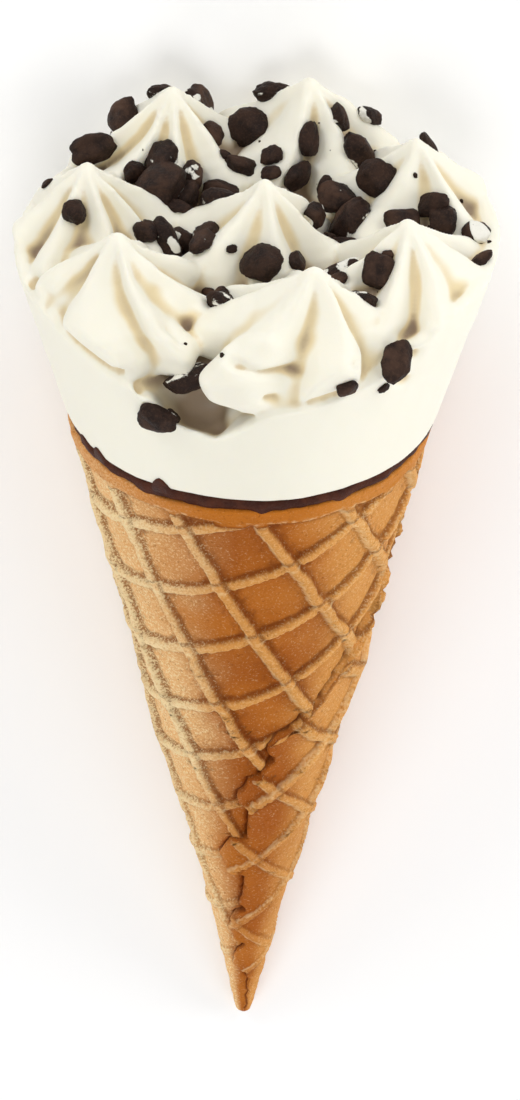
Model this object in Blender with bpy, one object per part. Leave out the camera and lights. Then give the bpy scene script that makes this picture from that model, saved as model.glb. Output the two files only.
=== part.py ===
import bpy
import bmesh
import math
import random
from mathutils import Matrix, Vector
from mathutils.bvhtree import BVHTree

# A filled waffle cone, drawn upright with its point at the origin and then laid on its back.
# Azimuth runs anticlockwise seen from the head, and -90 degrees is the side that ends on top.
# A slant is a distance from the point along the cone's side, a turn an angle round the cone
# to the right of that top side, and "over" a height over the rim.

MM = 0.001

# Waffle
HALF_ANGLE_DEG = 12.5
RIM_RADIUS = 25.0 * MM
RIM_RISE = 0.3 * MM
RIM_ROUNDING = 0.5 * MM
RIM_BAND_HEIGHT = 2.4 * MM
RIM_BAND_FLANK = 0.5 * MM
TIP_ROUNDING = 1.35 * MM
TIP_RING_LIFTS_DEG = (0.0, 35.0, 65.0)
CELL_WALL = 1.6 * MM
INNER_FLOOR = 17.0 * MM
WAFFLE_SEGMENTS = 36
WAFFLE_FACES_KEPT = 0.40

# Step of the rolled sheet at its free edge
WRAP_STEP = 0.9 * MM
WRAP_FULL_FROM = 30.0 * MM
ROLL_LEVEL = 0.6
FULL_ROLL_DEG = 359.98

# Ridges of the pressed grid, straight lines on the flat sheet before it is rolled
RIDGE_HEIGHT = 0.85 * MM
RIDGE_RADIUS = 1.15 * MM
RIDGE_PIECE = 5.5 * MM
RIDGE_SHORTEST = 3.0 * MM
RIDGE_LOWEST = 17.0 * MM
RIDGE_FULL_FROM = 40.0 * MM
RIDGE_INTO_BAND = 0.96 * MM
RIDGE_UNDER_EDGE = 0.7 * MM
RIDGE_OVER_EDGE = 0.42 * MM
LINE_STEP = 0.5 * MM
LINE_REACH = 130.0 * MM
STEEP_LINE_DEG = 115.3
STEEP_FIRST = 28.1 * MM
STEEP_PITCH_UP = 10.8 * MM
STEEP_PITCH_DOWN = 9.95 * MM
STEEP_COUNT_UP = 6
STEEP_COUNT_DOWN = 13
LEVEL_LINE_DEG = 22.5
LEVEL_FIRST = 70.1 * MM
LEVEL_PITCH_UP = 11.7 * MM
LEVEL_PITCH_DOWN = 10.3 * MM
LEVEL_COUNT_UP = 3
LEVEL_COUNT_DOWN = 5
LEVEL_DRIFT = 4.5 * MM

# Free edge of the rolled sheet: slant in millimetres, turn in degrees
EDGE_KNOTS = (
    (4.0, 24.0), (12.0, 16.0), (20.0, 4.0), (34.0, -1.0), (52.0, 3.0), (62.0, 16.0),
    (68.5, 27.0), (73.0, 42.0), (78.0, 55.0), (83.0, 68.0), (90.0, 85.0), (100.0, 102.0),
    (116.5, 124.0),
)
# Lobes of batter along that edge: slant, reach to the left and half length in millimetres
EDGE_LOBES = (
    (17.5, 1.5, 2.6), (25.5, 2.4, 3.6), (41.5, 3.2, 4.2), (56.0, 2.2, 3.2), (66.0, 2.2, 2.6),
)
EDGE_ROW_STEP = 3.6 * MM
EDGE_ROW_SHORTEST = 1.2 * MM
EDGE_ROW_SHRINK = 0.8
EDGE_ROW_TURN_DEG = 8.5

# Chocolate lining, a thin cup in the waffle whose lip shows over the rim
GAP = 0.3 * MM
LINING_WALL = 0.9 * MM
LINING_FLOOR = 5.0 * MM
LINING_SEGMENTS = 34
LIP_HEIGHT = 1.5 * MM
LIP_OVERHANG = 0.05 * MM
LIP_ROUNDING = 0.4 * MM
LIP_WAVE = 0.35 * MM
LIP_LEFT_RISE = 0.7 * MM

# Ice cream core: a plug in the lining and the flank that a sleeve moulded smooth
SLEEVE_RADIUS = 24.87 * MM
SLEEVE_SLOPE = 0.276
SLEEVE_OVERLAP = 0.2 * MM
CORE_SEGMENTS = 42
CORE_MIDDLE = 24.5 * MM
FOOT_ROUNDING = 0.5 * MM
FLANK_SHARES = (0.35, 0.7, 1.0)
CROWN_INSET = 1.2 * MM
CROWN_RISE = 0.8 * MM
CROWN_WIDTH = 9.0 * MM
# Where the flank ends: azimuth and millimetres over the rim, low in the notch in front
SHOULDER = (
    (-180.0, 26.0), (-150.0, 26.0), (-140.0, 24.5), (-125.0, 22.0), (-117.0, 20.0),
    (-110.0, 17.0), (-99.0, 15.0), (-92.0, 17.5), (-86.0, 19.8), (-75.0, 20.8),
    (-62.0, 22.5), (-50.0, 26.0), (-35.0, 29.0), (0.0, 29.0), (35.0, 28.0), (50.0, 25.5),
    (120.0, 25.5), (180.0, 26.0),
)

# Star rosettes: name, azimuth, distance and height over the rim of the tip, radius, turn of the
# first petal, twist from foot to tip and lean of the foot away from the axis, in millimetres
# and degrees
PETALS = 7
PETAL_SEGMENTS = 4
PETAL_WANDER = 0.16
PETAL_UNLIKENESS = 0.2
PETAL_SWELL = 1.9
PETAL_SINK = 1.2
PETAL_FULLNESS = 0.8
PETAL_SEED = 400
ROSETTE_DROP = 17.5 * MM
OUTWARD_SQUEEZE = 0.20
SQUEEZED_FROM = 20.0
ROSETTES = (
    ("front_left", -140.0, 22.6, 37.0, 12.4, 8.0, 30.0, 0.2),
    ("front_right", -75.0, 22.4, 37.0, 12.4, 20.0, 8.0, 0.0),
    ("right_front", -27.0, 23.0, 37.4, 12.2, 5.0, 12.0, 1.8),
    ("right_back", 24.0, 22.6, 37.2, 12.4, 20.0, 18.0, 2.4),
    ("back_right", 75.0, 23.4, 37.2, 12.8, 0.0, 15.0, 2.4),
    ("back_left", 120.0, 22.8, 36.8, 12.8, 35.0, 20.0, 2.8),
    ("left", 173.0, 21.8, 36.8, 12.2, 18.0, 20.0, 1.5),
    ("middle", -60.0, 1.0, 36.4, 11.4, 0.0, 14.0, 0.0),
)
# Shape of a rosette from foot to tip: share of the drop, share of the radius, petal depth
ROSETTE_PROFILE = (
    (0.00, 0.84, 0.06),
    (0.14, 0.99, 0.13),
    (0.32, 1.00, 0.17),
    (0.47, 0.90, 0.19),
    (0.60, 0.67, 0.21),
    (0.75, 0.41, 0.24),
    (0.88, 0.20, 0.22),
    (0.965, 0.08, 0.10),
)

# Dark chocolate pieces: azimuth, distance and height over the rim, length, width and turn
CHIP_ROUND = 6
CHIP_BANDS = 4
CHIP_FLATNESS = 0.72
CHIP_SUNK = 0.28
CHIP_WANDER = 0.08
CHIP_SEED = 11
CHIPS = (
    (130, 30.0, 32.0, 4.8, 4.6, 0), (119, 26.5, 35.0, 4.2, 3.0, 0),
    (104, 27.0, 33.0, 5.0, 4.2, 20), (137, 31.5, 27.5, 3.0, 2.6, 0),
    (141, 28.0, 29.5, 6.0, 3.6, 15), (-176, 24.5, 32.5, 3.0, 3.4, 80),
    (134, 18.5, 31.0, 5.2, 4.4, 10), (144, 20.0, 29.5, 3.0, 2.8, 60),
    (141, 15.5, 27.5, 7.4, 6.4, 40), (124, 14.5, 29.0, 2.8, 4.2, 0),
    (131, 7.0, 29.5, 5.8, 4.0, -10), (-172, 15.0, 29.0, 3.0, 2.8, 0),
    (-174, 11.5, 27.5, 6.4, 4.8, 20), (-144, 8.0, 29.5, 4.6, 3.2, 70),
    (105, 20.5, 31.0, 3.8, 3.0, 0), (93, 22.5, 30.5, 5.4, 5.0, 30),
    (97, 15.0, 29.0, 4.8, 3.2, 10), (85, 27.5, 34.0, 5.6, 3.8, 15),
    (62, 23.0, 33.0, 4.8, 3.3, 80), (65, 18.5, 32.0, 4.6, 3.5, 75),
    (58, 28.5, 31.0, 3.8, 3.2, 60), (54, 21.0, 29.0, 6.4, 5.2, 20),
    (26, 18.0, 32.0, 5.0, 4.6, 60), (80, 15.5, 29.5, 3.2, 2.6, 0),
    (66, 14.5, 28.5, 4.8, 3.6, 0), (36, 13.5, 29.0, 4.6, 4.4, 0),
    (17, 14.0, 27.0, 6.6, 5.6, 10), (4, 19.5, 29.5, 4.8, 3.4, 0),
    (7, 23.5, 31.5, 4.5, 3.0, 10), (2, 25.0, 30.0, 4.2, 3.8, 60),
    (27, 27.0, 34.5, 4.2, 2.4, 0), (-1, 29.5, 28.5, 3.6, 3.4, 0),
    (-13, 31.0, 29.5, 3.2, 2.2, 0), (-86, 9.5, 30.0, 5.6, 5.2, 0),
    (-47, 10.0, 29.0, 3.4, 2.8, 70), (-104, 17.0, 28.5, 4.5, 3.4, 70),
    (-42, 15.5, 29.5, 5.2, 3.0, 0), (-42, 22.0, 32.5, 4.5, 4.0, 80),
    (-50, 22.5, 30.5, 3.8, 3.2, 0), (-54, 24.5, 29.5, 3.0, 3.0, 0),
    (-53, 31.5, 25.5, 5.6, 3.5, 80), (-67, 31.5, 24.0, 2.7, 2.6, 0),
    (-114, 29.5, 17.5, 4.8, 3.8, 0), (-109, 28.0, 18.5, 2.2, 2.2, 0),
    (-107, 26.0, 20.0, 6.4, 4.2, 0),
)

# Resting flat on the underside of the head
FLAT_DEPTH = 0.7 * MM
HEAD_WIDEST = 29.0 * MM
FLOOR_BLOCK_SIDE = 200.0 * MM

WELD = 0.01 * MM
HALF_ANGLE = math.radians(HALF_ANGLE_DEG)
SLOPE = math.tan(HALF_ANGLE)
TURN_RATIO = math.sin(HALF_ANGLE)
RIM_HEIGHT = RIM_RADIUS / SLOPE
WAFFLE_TOP = RIM_HEIGHT + RIM_RISE
TIP_MIDDLE = TIP_ROUNDING / TURN_RATIO
WAFFLE_INSET = RIDGE_HEIGHT + CELL_WALL + 0.5 * WRAP_STEP
LINING_INSET = WAFFLE_INSET + GAP / math.cos(HALF_ANGLE)
LINING_INNER_INSET = LINING_INSET + LINING_WALL
CORE_INSET = LINING_INNER_INSET + GAP / math.cos(HALF_ANGLE)
LINING_FOOT = INNER_FLOOR * math.cos(HALF_ANGLE) + LINING_FLOOR
LIP_FOOT = WAFFLE_TOP + GAP
LIP_TOP = LIP_FOOT + LIP_HEIGHT


def clear_scene():
    for old in list(bpy.data.objects):
        bpy.data.objects.remove(old, do_unlink=True)


def new_collection(name):
    made = bpy.data.collections.new(name)
    bpy.context.scene.collection.children.link(made)
    return made


def new_material(name, colour, roughness):
    made = bpy.data.materials.new(name)
    made.use_nodes = True
    shader = made.node_tree.nodes["Principled BSDF"]
    shader.inputs["Base Color"].default_value = (*colour, 1.0)
    shader.inputs["Roughness"].default_value = roughness
    return made


def new_object(name, mesh, collection):
    made = bpy.data.objects.new(name, mesh)
    collection.objects.link(made)
    return made


def mesh_of(name, body, collection):
    """Object of a finished bmesh, its faces turned outward."""
    bmesh.ops.recalc_face_normals(body, faces=body.faces[:])
    mesh = bpy.data.meshes.new(name)
    body.to_mesh(mesh)
    body.free()
    return new_object(name, mesh, collection)


def apply_modifiers(item):
    bpy.context.view_layer.update()
    graph = bpy.context.evaluated_depsgraph_get()
    applied = bpy.data.meshes.new_from_object(item.evaluated_get(graph))
    item.modifiers.clear()
    item.data = applied


def join_collection(item, collection):
    """One union with a whole collection, applied, and the joined pieces removed."""
    union = item.modifiers.new("join", "BOOLEAN")
    union.operation = "UNION"
    union.operand_type = "COLLECTION"
    union.collection = collection
    union.solver = "EXACT"
    apply_modifiers(item)
    for piece in list(collection.objects):
        bpy.data.objects.remove(piece, do_unlink=True)
    bpy.data.collections.remove(collection)


def lighten(item, share):
    """Fewer faces on a body whose relief was cut by many small pieces."""
    fewer = item.modifiers.new("lighten", "DECIMATE")
    fewer.ratio = share
    fewer.use_collapse_triangulate = True
    apply_modifiers(item)


def loft(name, rings, collection):
    """Closed body through unlike rings of equal count, with a fan at both ends."""
    body = bmesh.new()
    rows = [[body.verts.new(point) for point in ring] for ring in rings]
    for lower, upper in zip(rows, rows[1:]):
        for k in range(len(lower)):
            after = (k + 1) % len(lower)
            body.faces.new((lower[k], lower[after], upper[after], upper[k]))
    for row in (rows[0], rows[-1]):
        middle = body.verts.new(sum((vert.co for vert in row), Vector()) / len(row))
        for k, here in enumerate(row):
            body.faces.new((here, row[(k + 1) % len(row)], middle))
    bmesh.ops.triangulate(body, faces=body.faces[:], quad_method="SHORT_EDGE")
    return mesh_of(name, body, collection)


def turned(name, profile, segments, collection):
    """Body spun round the axis from a profile of radius and height that ends on the axis."""
    body = bmesh.new()
    verts = [body.verts.new((radius, 0.0, height)) for radius, height in profile]
    edges = [body.edges.new(pair) for pair in zip(verts, verts[1:])]
    bmesh.ops.spin(
        body, geom=verts + edges, axis=(0.0, 0.0, 1.0), cent=(0.0, 0.0, 0.0),
        angle=2.0 * math.pi, steps=segments,
    )
    bmesh.ops.remove_doubles(body, verts=body.verts[:], dist=WELD)
    return mesh_of(name, body, collection)


def smooth_step(low, high, value):
    share = min(1.0, max(0.0, (value - low) / (high - low)))
    return share * share * (3.0 - 2.0 * share)


def between_knots(knots, place):
    """Value at a place, straight between (place, value) knots."""
    for (low, first), (high, last) in zip(knots, knots[1:]):
        if place <= high:
            share = max(0.0, (place - low) / (high - low))
            return first + (last - first) * share
    return knots[-1][1]


def on_ring(radius, azimuth, height):
    return Vector((radius * math.cos(azimuth), radius * math.sin(azimuth), height))


def edge_turn(slant):
    """Turn of the sheet's free edge, in degrees."""
    turn = between_knots(EDGE_KNOTS, slant / MM)
    for middle, reach, half in EDGE_LOBES:
        share = abs(slant / MM - middle) / half
        if share < 1.0:
            lobe = reach * MM * math.sqrt(1.0 - share * share)
            turn -= math.degrees(lobe / (slant * TURN_RATIO))
    return turn


def ridge_height(slant):
    """Relief of the pressed grid, which fades toward the rolled-up point."""
    return RIDGE_HEIGHT * smooth_step(0.0, RIDGE_FULL_FROM, slant)


def cell_radius(slant, rolled):
    """Radius of the sheet between its ridges, at a share of its turn from the free edge."""
    step = WRAP_STEP * smooth_step(0.0, WRAP_FULL_FROM, slant)
    return slant * TURN_RATIO - ridge_height(slant) + step * (ROLL_LEVEL - rolled)


def sheet_point(slant, turn_deg, radius):
    return on_ring(radius, math.radians(turn_deg - 90.0), slant * math.cos(HALF_ANGLE))


def sheet_ring(slant, start_deg, radius_of):
    """One turn of the sheet at a slant, from its free edge round to the same edge again."""
    points = []
    for k in range(WAFFLE_SEGMENTS):
        rolled = k / (WAFFLE_SEGMENTS - 1)
        turn = start_deg + FULL_ROLL_DEG * rolled
        points.append(sheet_point(slant, turn, radius_of(slant, rolled)))
    return points


def sheet_slants(top):
    """Slants of the rows, close together where the free edge turns fast."""
    slants = [top]
    while slants[-1] > TIP_MIDDLE + EDGE_ROW_STEP:
        step = EDGE_ROW_STEP
        while step > EDGE_ROW_SHORTEST:
            if abs(edge_turn(slants[-1]) - edge_turn(slants[-1] - step)) <= EDGE_ROW_TURN_DEG:
                break
            step *= EDGE_ROW_SHRINK
        slants.append(slants[-1] - step)
    return slants


def tip_rings():
    """Round end of the point, a few rings of a ball."""
    start = edge_turn(TIP_ROUNDING / SLOPE)
    rings = []
    for lift_deg in TIP_RING_LIFTS_DEG:
        lift = math.radians(HALF_ANGLE_DEG + lift_deg)
        height = TIP_MIDDLE - TIP_ROUNDING * math.sin(lift)
        radius = TIP_ROUNDING * math.cos(lift)
        rings.append(sheet_ring(height / math.cos(HALF_ANGLE), start, lambda *_: radius))
    return rings


def build_waffle_shell(collection):
    """Rolled sheet with a smooth band at its rim and a step where its free edge lies."""
    top = WAFFLE_TOP / math.cos(HALF_ANGLE)
    band_foot = (WAFFLE_TOP - RIM_BAND_HEIGHT) / math.cos(HALF_ANGLE)
    first_row = (WAFFLE_TOP - RIM_BAND_HEIGHT - RIM_BAND_FLANK) / math.cos(HALF_ANGLE)
    start = edge_turn(top)

    def inside(slant, rolled):
        return slant * TURN_RATIO - WAFFLE_INSET

    def band(slant, rolled):
        return cell_radius(slant, rolled) + RIDGE_HEIGHT

    rings = [
        sheet_ring(INNER_FLOOR, start, inside),
        sheet_ring(top - RIM_ROUNDING, start, inside),
        sheet_ring(top, start, lambda *place: inside(*place) + RIM_ROUNDING),
        sheet_ring(top, start, lambda *place: band(*place) - RIM_ROUNDING),
        sheet_ring(top - RIM_ROUNDING, start, band),
        sheet_ring(band_foot, edge_turn(band_foot), band),
    ]
    for slant in sheet_slants(first_row):
        rings.append(sheet_ring(slant, edge_turn(slant), cell_radius))
    rings.extend(tip_rings())
    return loft("waffle_cone", rings, collection)


def sheet_runs(line_deg, offset, drift):
    """Runs of one pressed line over the rolled sheet, as slant and turn, cut at its free edge."""
    along = Vector((math.cos(math.radians(line_deg)), math.sin(math.radians(line_deg))))
    across = Vector((-along.y, along.x))
    if line_deg > 90.0:
        across = -across
    highest = (WAFFLE_TOP - RIM_BAND_HEIGHT + RIDGE_INTO_BAND) / math.cos(HALF_ANGLE)
    runs = [[]]
    for k in range(round(2.0 * LINE_REACH / LINE_STEP) + 1):
        turn = 0.0
        for _ in range(3):
            flat = across * (offset + drift * turn / 360.0) + along * (k * LINE_STEP - LINE_REACH)
            turn = math.degrees(math.atan2(flat.x, flat.y)) / TURN_RATIO
        slant = flat.length
        inside = RIDGE_LOWEST <= slant <= highest
        if inside:
            free = edge_turn(slant)
            under = math.degrees(RIDGE_UNDER_EDGE / (slant * TURN_RATIO))
            over = math.degrees(RIDGE_OVER_EDGE / (slant * TURN_RATIO))
            inside = free - 360.0 - under <= turn <= free + over
        if inside:
            runs[-1].append((slant, turn))
        elif runs[-1]:
            runs.append([])
    return [run for run in runs if len(run) * LINE_STEP > RIDGE_SHORTEST]


def build_ridge(name, run, collection):
    """Half-sunk rod along one run of a pressed line, as a mesh with welded ends."""
    pieces = max(1, round(len(run) * LINE_STEP / RIDGE_PIECE))
    curve = bpy.data.curves.new(name, "CURVE")
    curve.dimensions = "3D"
    curve.bevel_depth = RIDGE_RADIUS
    curve.bevel_resolution = 1
    curve.use_fill_caps = True
    spline = curve.splines.new("POLY")
    spline.points.add(pieces)
    for k, point in enumerate(spline.points):
        slant, turn = run[round(k * (len(run) - 1) / pieces)]
        rolled = min(1.0, max(0.0, (turn - edge_turn(slant)) / 360.0 + 1.0))
        sink = RIDGE_RADIUS - ridge_height(slant)
        point.co = (*sheet_point(slant, turn, cell_radius(slant, rolled) - sink), 1.0)
    rod = new_object(name + "_curve", curve, collection)
    graph = bpy.context.evaluated_depsgraph_get()
    rod_mesh = bpy.data.meshes.new_from_object(rod.evaluated_get(graph))
    bpy.data.objects.remove(rod, do_unlink=True)
    body = bmesh.new()
    body.from_mesh(rod_mesh)
    bmesh.ops.remove_doubles(body, verts=body.verts[:], dist=WELD)
    mesh_of(name, body, collection)


def line_offsets(first, pitch_up, pitch_down, count_up, count_down):
    up = [first + pitch_up * k for k in range(count_up + 1)]
    down = [first - pitch_down * k for k in range(1, count_down + 1)]
    return up + down


def build_ridges(collection):
    steep = line_offsets(
        STEEP_FIRST, STEEP_PITCH_UP, STEEP_PITCH_DOWN, STEEP_COUNT_UP, STEEP_COUNT_DOWN
    )
    level = line_offsets(
        LEVEL_FIRST, LEVEL_PITCH_UP, LEVEL_PITCH_DOWN, LEVEL_COUNT_UP, LEVEL_COUNT_DOWN
    )
    runs = []
    for offset in steep:
        runs.extend(sheet_runs(STEEP_LINE_DEG, offset, 0.0))
    for offset in level:
        runs.extend(sheet_runs(LEVEL_LINE_DEG, offset, LEVEL_DRIFT))
    for number, run in enumerate(runs):
        build_ridge("ridge_%02d" % number, run, collection)


def build_waffle(collection):
    waffle = build_waffle_shell(collection)
    ridges = new_collection("ridges")
    build_ridges(ridges)
    join_collection(waffle, ridges)
    lighten(waffle, WAFFLE_FACES_KEPT)
    return waffle


def lip_wave(azimuth):
    """Rise and fall of the lip's uneven edge, which stands higher on the left."""
    wave = 0.6 * math.sin(3.0 * azimuth + 0.7) + 0.4 * math.sin(7.0 * azimuth + 2.1)
    return LIP_WAVE * wave + LIP_LEFT_RISE * smooth_step(-0.6, -1.0, math.cos(azimuth))


def build_lining(collection):
    """Thin cup in the waffle, turned out over its rim as an uneven lip."""
    lip_radius = RIM_RADIUS + LIP_OVERHANG
    floor_top = LINING_FOOT + LINING_WALL
    profile = (
        (0.0, floor_top),
        (floor_top * SLOPE - LINING_INNER_INSET, floor_top),
        (LIP_FOOT * SLOPE - LINING_INNER_INSET, LIP_FOOT),
        (RIM_RADIUS - LINING_INNER_INSET + GAP, LIP_TOP),
        (lip_radius - LIP_ROUNDING, LIP_TOP),
        (lip_radius, LIP_TOP - LIP_ROUNDING),
        (lip_radius, LIP_FOOT + 0.5 * LIP_ROUNDING),
        (lip_radius - 0.5 * LIP_ROUNDING, LIP_FOOT),
        (LIP_FOOT * SLOPE - LINING_INSET, LIP_FOOT),
        (LINING_FOOT * SLOPE - LINING_INSET, LINING_FOOT),
        (0.0, LINING_FOOT),
    )
    lining = turned("chocolate_lining", profile, LINING_SEGMENTS, collection)
    for vert in lining.data.vertices:
        if vert.co.z > LIP_FOOT + LIP_ROUNDING:
            vert.co.z += lip_wave(math.atan2(vert.co.y, vert.co.x))
    return lining


def sleeve_radius(over):
    return SLEEVE_RADIUS + SLEEVE_SLOPE * over


def build_core(collection):
    """Ice cream in the lining, over the lip, and up the smooth flank to the uneven shoulder."""
    plug_foot = LINING_FOOT + LINING_WALL + GAP
    azimuths = [2.0 * math.pi * k / CORE_SEGMENTS for k in range(CORE_SEGMENTS)]
    feet = [LIP_TOP + GAP + lip_wave(azimuth) - RIM_HEIGHT for azimuth in azimuths]
    ends = [between_knots(SHOULDER, wrapped_deg(azimuth)) * MM for azimuth in azimuths]

    def ring(radius_of, overs):
        spots = zip(azimuths, overs)
        return [on_ring(radius_of(over), azimuth, over + RIM_HEIGHT) for azimuth, over in spots]

    plug_overs = [plug_foot - RIM_HEIGHT] * CORE_SEGMENTS
    rim_overs = [RIM_RISE] * CORE_SEGMENTS
    lifted = [foot + FOOT_ROUNDING for foot in feet]
    crown = [end + CROWN_RISE for end in ends]
    rings = [
        ring(lambda over: plug_foot * SLOPE - CORE_INSET, plug_overs),
        ring(lambda over: WAFFLE_TOP * SLOPE - CORE_INSET, rim_overs),
        ring(lambda over: RIM_RADIUS - CORE_INSET + GAP, feet),
        ring(lambda over: sleeve_radius(over) - FOOT_ROUNDING, feet),
        ring(sleeve_radius, lifted),
    ]
    for share in FLANK_SHARES:
        rings.append(ring(sleeve_radius, [share * end for end in ends]))
    rings.append(ring(lambda over: sleeve_radius(over) - CROWN_INSET, crown))
    inner = []
    for azimuth, end in zip(azimuths, ends):
        inner.append(on_ring(sleeve_radius(end) - CROWN_WIDTH, azimuth, CORE_MIDDLE + RIM_HEIGHT))
    rings.append(inner)
    return loft("ice_cream", rings, collection)


def wrapped_deg(azimuth):
    return (math.degrees(azimuth) + 180.0) % 360.0 - 180.0


def build_rosette(spot, collection):
    """Piped star: a petalled skirt that narrows and turns up to a soft point."""
    name, azimuth_deg, distance, tip, radius, turn_deg, twist_deg, lean = spot
    azimuth = math.radians(azimuth_deg)
    middle = on_ring(distance * MM, azimuth, 0.0)
    outward = on_ring(1.0, azimuth, 0.0)
    squeeze = OUTWARD_SQUEEZE * min(1.0, distance / SQUEEZED_FROM)
    draw = random.Random(PETAL_SEED + round(azimuth_deg))
    valleys = [k + PETAL_WANDER * draw.uniform(-1.0, 1.0) for k in range(PETALS)]
    valleys.append(valleys[0] + PETALS)
    crests = [1.0 + PETAL_UNLIKENESS * draw.uniform(-1.0, 1.0) for _ in range(PETALS)]
    rings = []
    for share, width, depth in ROSETTE_PROFILE:
        over = tip * MM - ROSETTE_DROP * (1.0 - share)
        limit = sleeve_radius(over) + SLEEVE_OVERLAP
        twist = math.radians(turn_deg - twist_deg * share)
        ring = []
        for k in range(PETALS * PETAL_SEGMENTS):
            petal, step = divmod(k, PETAL_SEGMENTS)
            across = step / PETAL_SEGMENTS
            place = valleys[petal] + (valleys[petal + 1] - valleys[petal]) * across
            swell = PETAL_SWELL * crests[petal] * math.sin(math.pi * across) ** PETAL_FULLNESS
            reach = radius * MM * width * (1.0 + depth * (swell - PETAL_SINK))
            offset = on_ring(reach, 2.0 * math.pi * place / PETALS + twist, 0.0)
            past = max(0.0, offset.dot(outward))
            point = middle + offset + outward * (lean * MM * (1.0 - share) - past * squeeze)
            if point.length > limit:
                point *= limit / point.length
            point.z = over + RIM_HEIGHT
            ring.append(point)
        rings.append(ring)
    loft("rosette_" + name, rings, collection)


def build_chip(name, ground, normal, size, turn_deg, draw, collection):
    """Rounded piece, laid flat on the ice cream and sunk into it."""
    body = bmesh.new()
    bmesh.ops.create_uvsphere(body, u_segments=CHIP_ROUND, v_segments=CHIP_BANDS, radius=0.5)
    for vert in body.verts:
        wander = 1.0 + CHIP_WANDER * draw.uniform(-1.0, 1.0)
        vert.co = Vector([part * extent * wander for part, extent in zip(vert.co, size)])
    chip = mesh_of(name, body, collection)
    side = Vector((1.0, 0.0, 0.0))
    side = (side - normal * side.dot(normal)).normalized()
    lying = Matrix((side, normal.cross(side), normal)).transposed()
    lying = lying @ Matrix.Rotation(math.radians(turn_deg), 3, "Z")
    lift = size.z * (0.5 - CHIP_SUNK)
    chip.matrix_world = Matrix.Translation(ground + normal * lift) @ lying.to_4x4()


def build_chips(cream, collection):
    tree = BVHTree.FromObject(cream, bpy.context.evaluated_depsgraph_get())
    draw = random.Random(CHIP_SEED)
    for number, (azimuth_deg, distance, over, length, width, turn_deg) in enumerate(CHIPS):
        aim = on_ring(distance * MM, math.radians(azimuth_deg), RIM_HEIGHT + over * MM)
        ground, normal, _, _ = tree.find_nearest(aim)
        size = Vector((length, width, CHIP_FLATNESS * width)) * MM
        build_chip("chip_%02d" % number, ground, normal, size, turn_deg, draw, collection)


def build_ice_cream(collection):
    cream = build_core(collection)
    piping = new_collection("piping")
    for spot in ROSETTES:
        build_rosette(spot, piping)
    join_collection(cream, piping)
    chips = new_collection("chips")
    build_chips(cream, chips)
    join_collection(cream, chips)
    return cream


def resting_plane():
    """Lean of the axis, and distance of the floor from the point, once the cone lies down."""
    tip_middle = Vector((0.0, TIP_MIDDLE))
    widest = Vector((sleeve_radius(HEAD_WIDEST), RIM_HEIGHT + HEAD_WIDEST))
    run = widest - tip_middle
    lean = math.atan2(run.x, run.y) - math.asin((TIP_ROUNDING + FLAT_DEPTH) / run.length)
    downward = Vector((math.cos(lean), -math.sin(lean)))
    return lean, downward.dot(tip_middle) + TIP_ROUNDING


def cut_resting_flat(cream, lean, drop, collection):
    """Cut by a block behind the upright cone, one face of which is the floor."""
    body = bmesh.new()
    bmesh.ops.create_cube(body, size=FLOOR_BLOCK_SIDE)
    block = mesh_of("floor_block", body, collection)
    downward = Vector((0.0, math.cos(lean), -math.sin(lean)))
    along = Vector((0.0, math.sin(lean), math.cos(lean)))
    block.location = downward * (drop + 0.5 * FLOOR_BLOCK_SIDE) + along * RIM_HEIGHT
    block.rotation_euler = (-lean, 0.0, 0.0)
    block.hide_render = True
    block.display_type = "WIRE"
    flat = cream.modifiers.new("resting_flat", "BOOLEAN")
    flat.operation = "DIFFERENCE"
    flat.object = block
    flat.solver = "EXACT"
    return block


def finish(item, material, sharp_deg):
    item.data.materials.clear()
    item.data.materials.append(material)
    item.data.shade_smooth()
    item.data.set_sharp_from_angle(angle=math.radians(sharp_deg))


def lay_down(items, block, lean, collection):
    """Parent empty that lays the cone on its back, the middle of its box over the origin."""
    holder = bpy.data.objects.new("lying_cone", None)
    collection.objects.link(holder)
    for item in (*items, block):
        item.parent = holder
    holder.rotation_euler = (lean - 0.5 * math.pi, 0.0, 0.0)
    bpy.context.view_layer.update()
    graph = bpy.context.evaluated_depsgraph_get()
    points = []
    for item in items:
        shown = item.evaluated_get(graph)
        points.extend(shown.matrix_world @ vert.co for vert in shown.data.vertices)
    low = [min(point[axis] for point in points) for axis in range(3)]
    high = [max(point[axis] for point in points) for axis in range(3)]
    holder.location = (-0.5 * (low[0] + high[0]), -0.5 * (low[1] + high[1]), -low[2])


def main():
    clear_scene()
    parts = new_collection("ice_cream_cone")
    cutters = new_collection("cutters")
    waffle = build_waffle(parts)
    lining = build_lining(parts)
    cream = build_ice_cream(parts)
    lean, drop = resting_plane()
    block = cut_resting_flat(cream, lean, drop, cutters)
    finish(waffle, new_material("waffle_baked", (0.60, 0.30, 0.09), 0.7), 50.0)
    finish(lining, new_material("chocolate_dark", (0.06, 0.025, 0.015), 0.45), 50.0)
    finish(cream, new_material("vanilla_ice_cream", (0.88, 0.85, 0.74), 0.5), 60.0)
    lay_down((waffle, lining, cream), block, lean, parts)


main()
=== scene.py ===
import math

import bpy
import numpy as np
from bpy.props import FloatProperty, FloatVectorProperty, IntProperty, PointerProperty
from mathutils import Matrix, Vector
from mathutils.bvhtree import BVHTree


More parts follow.
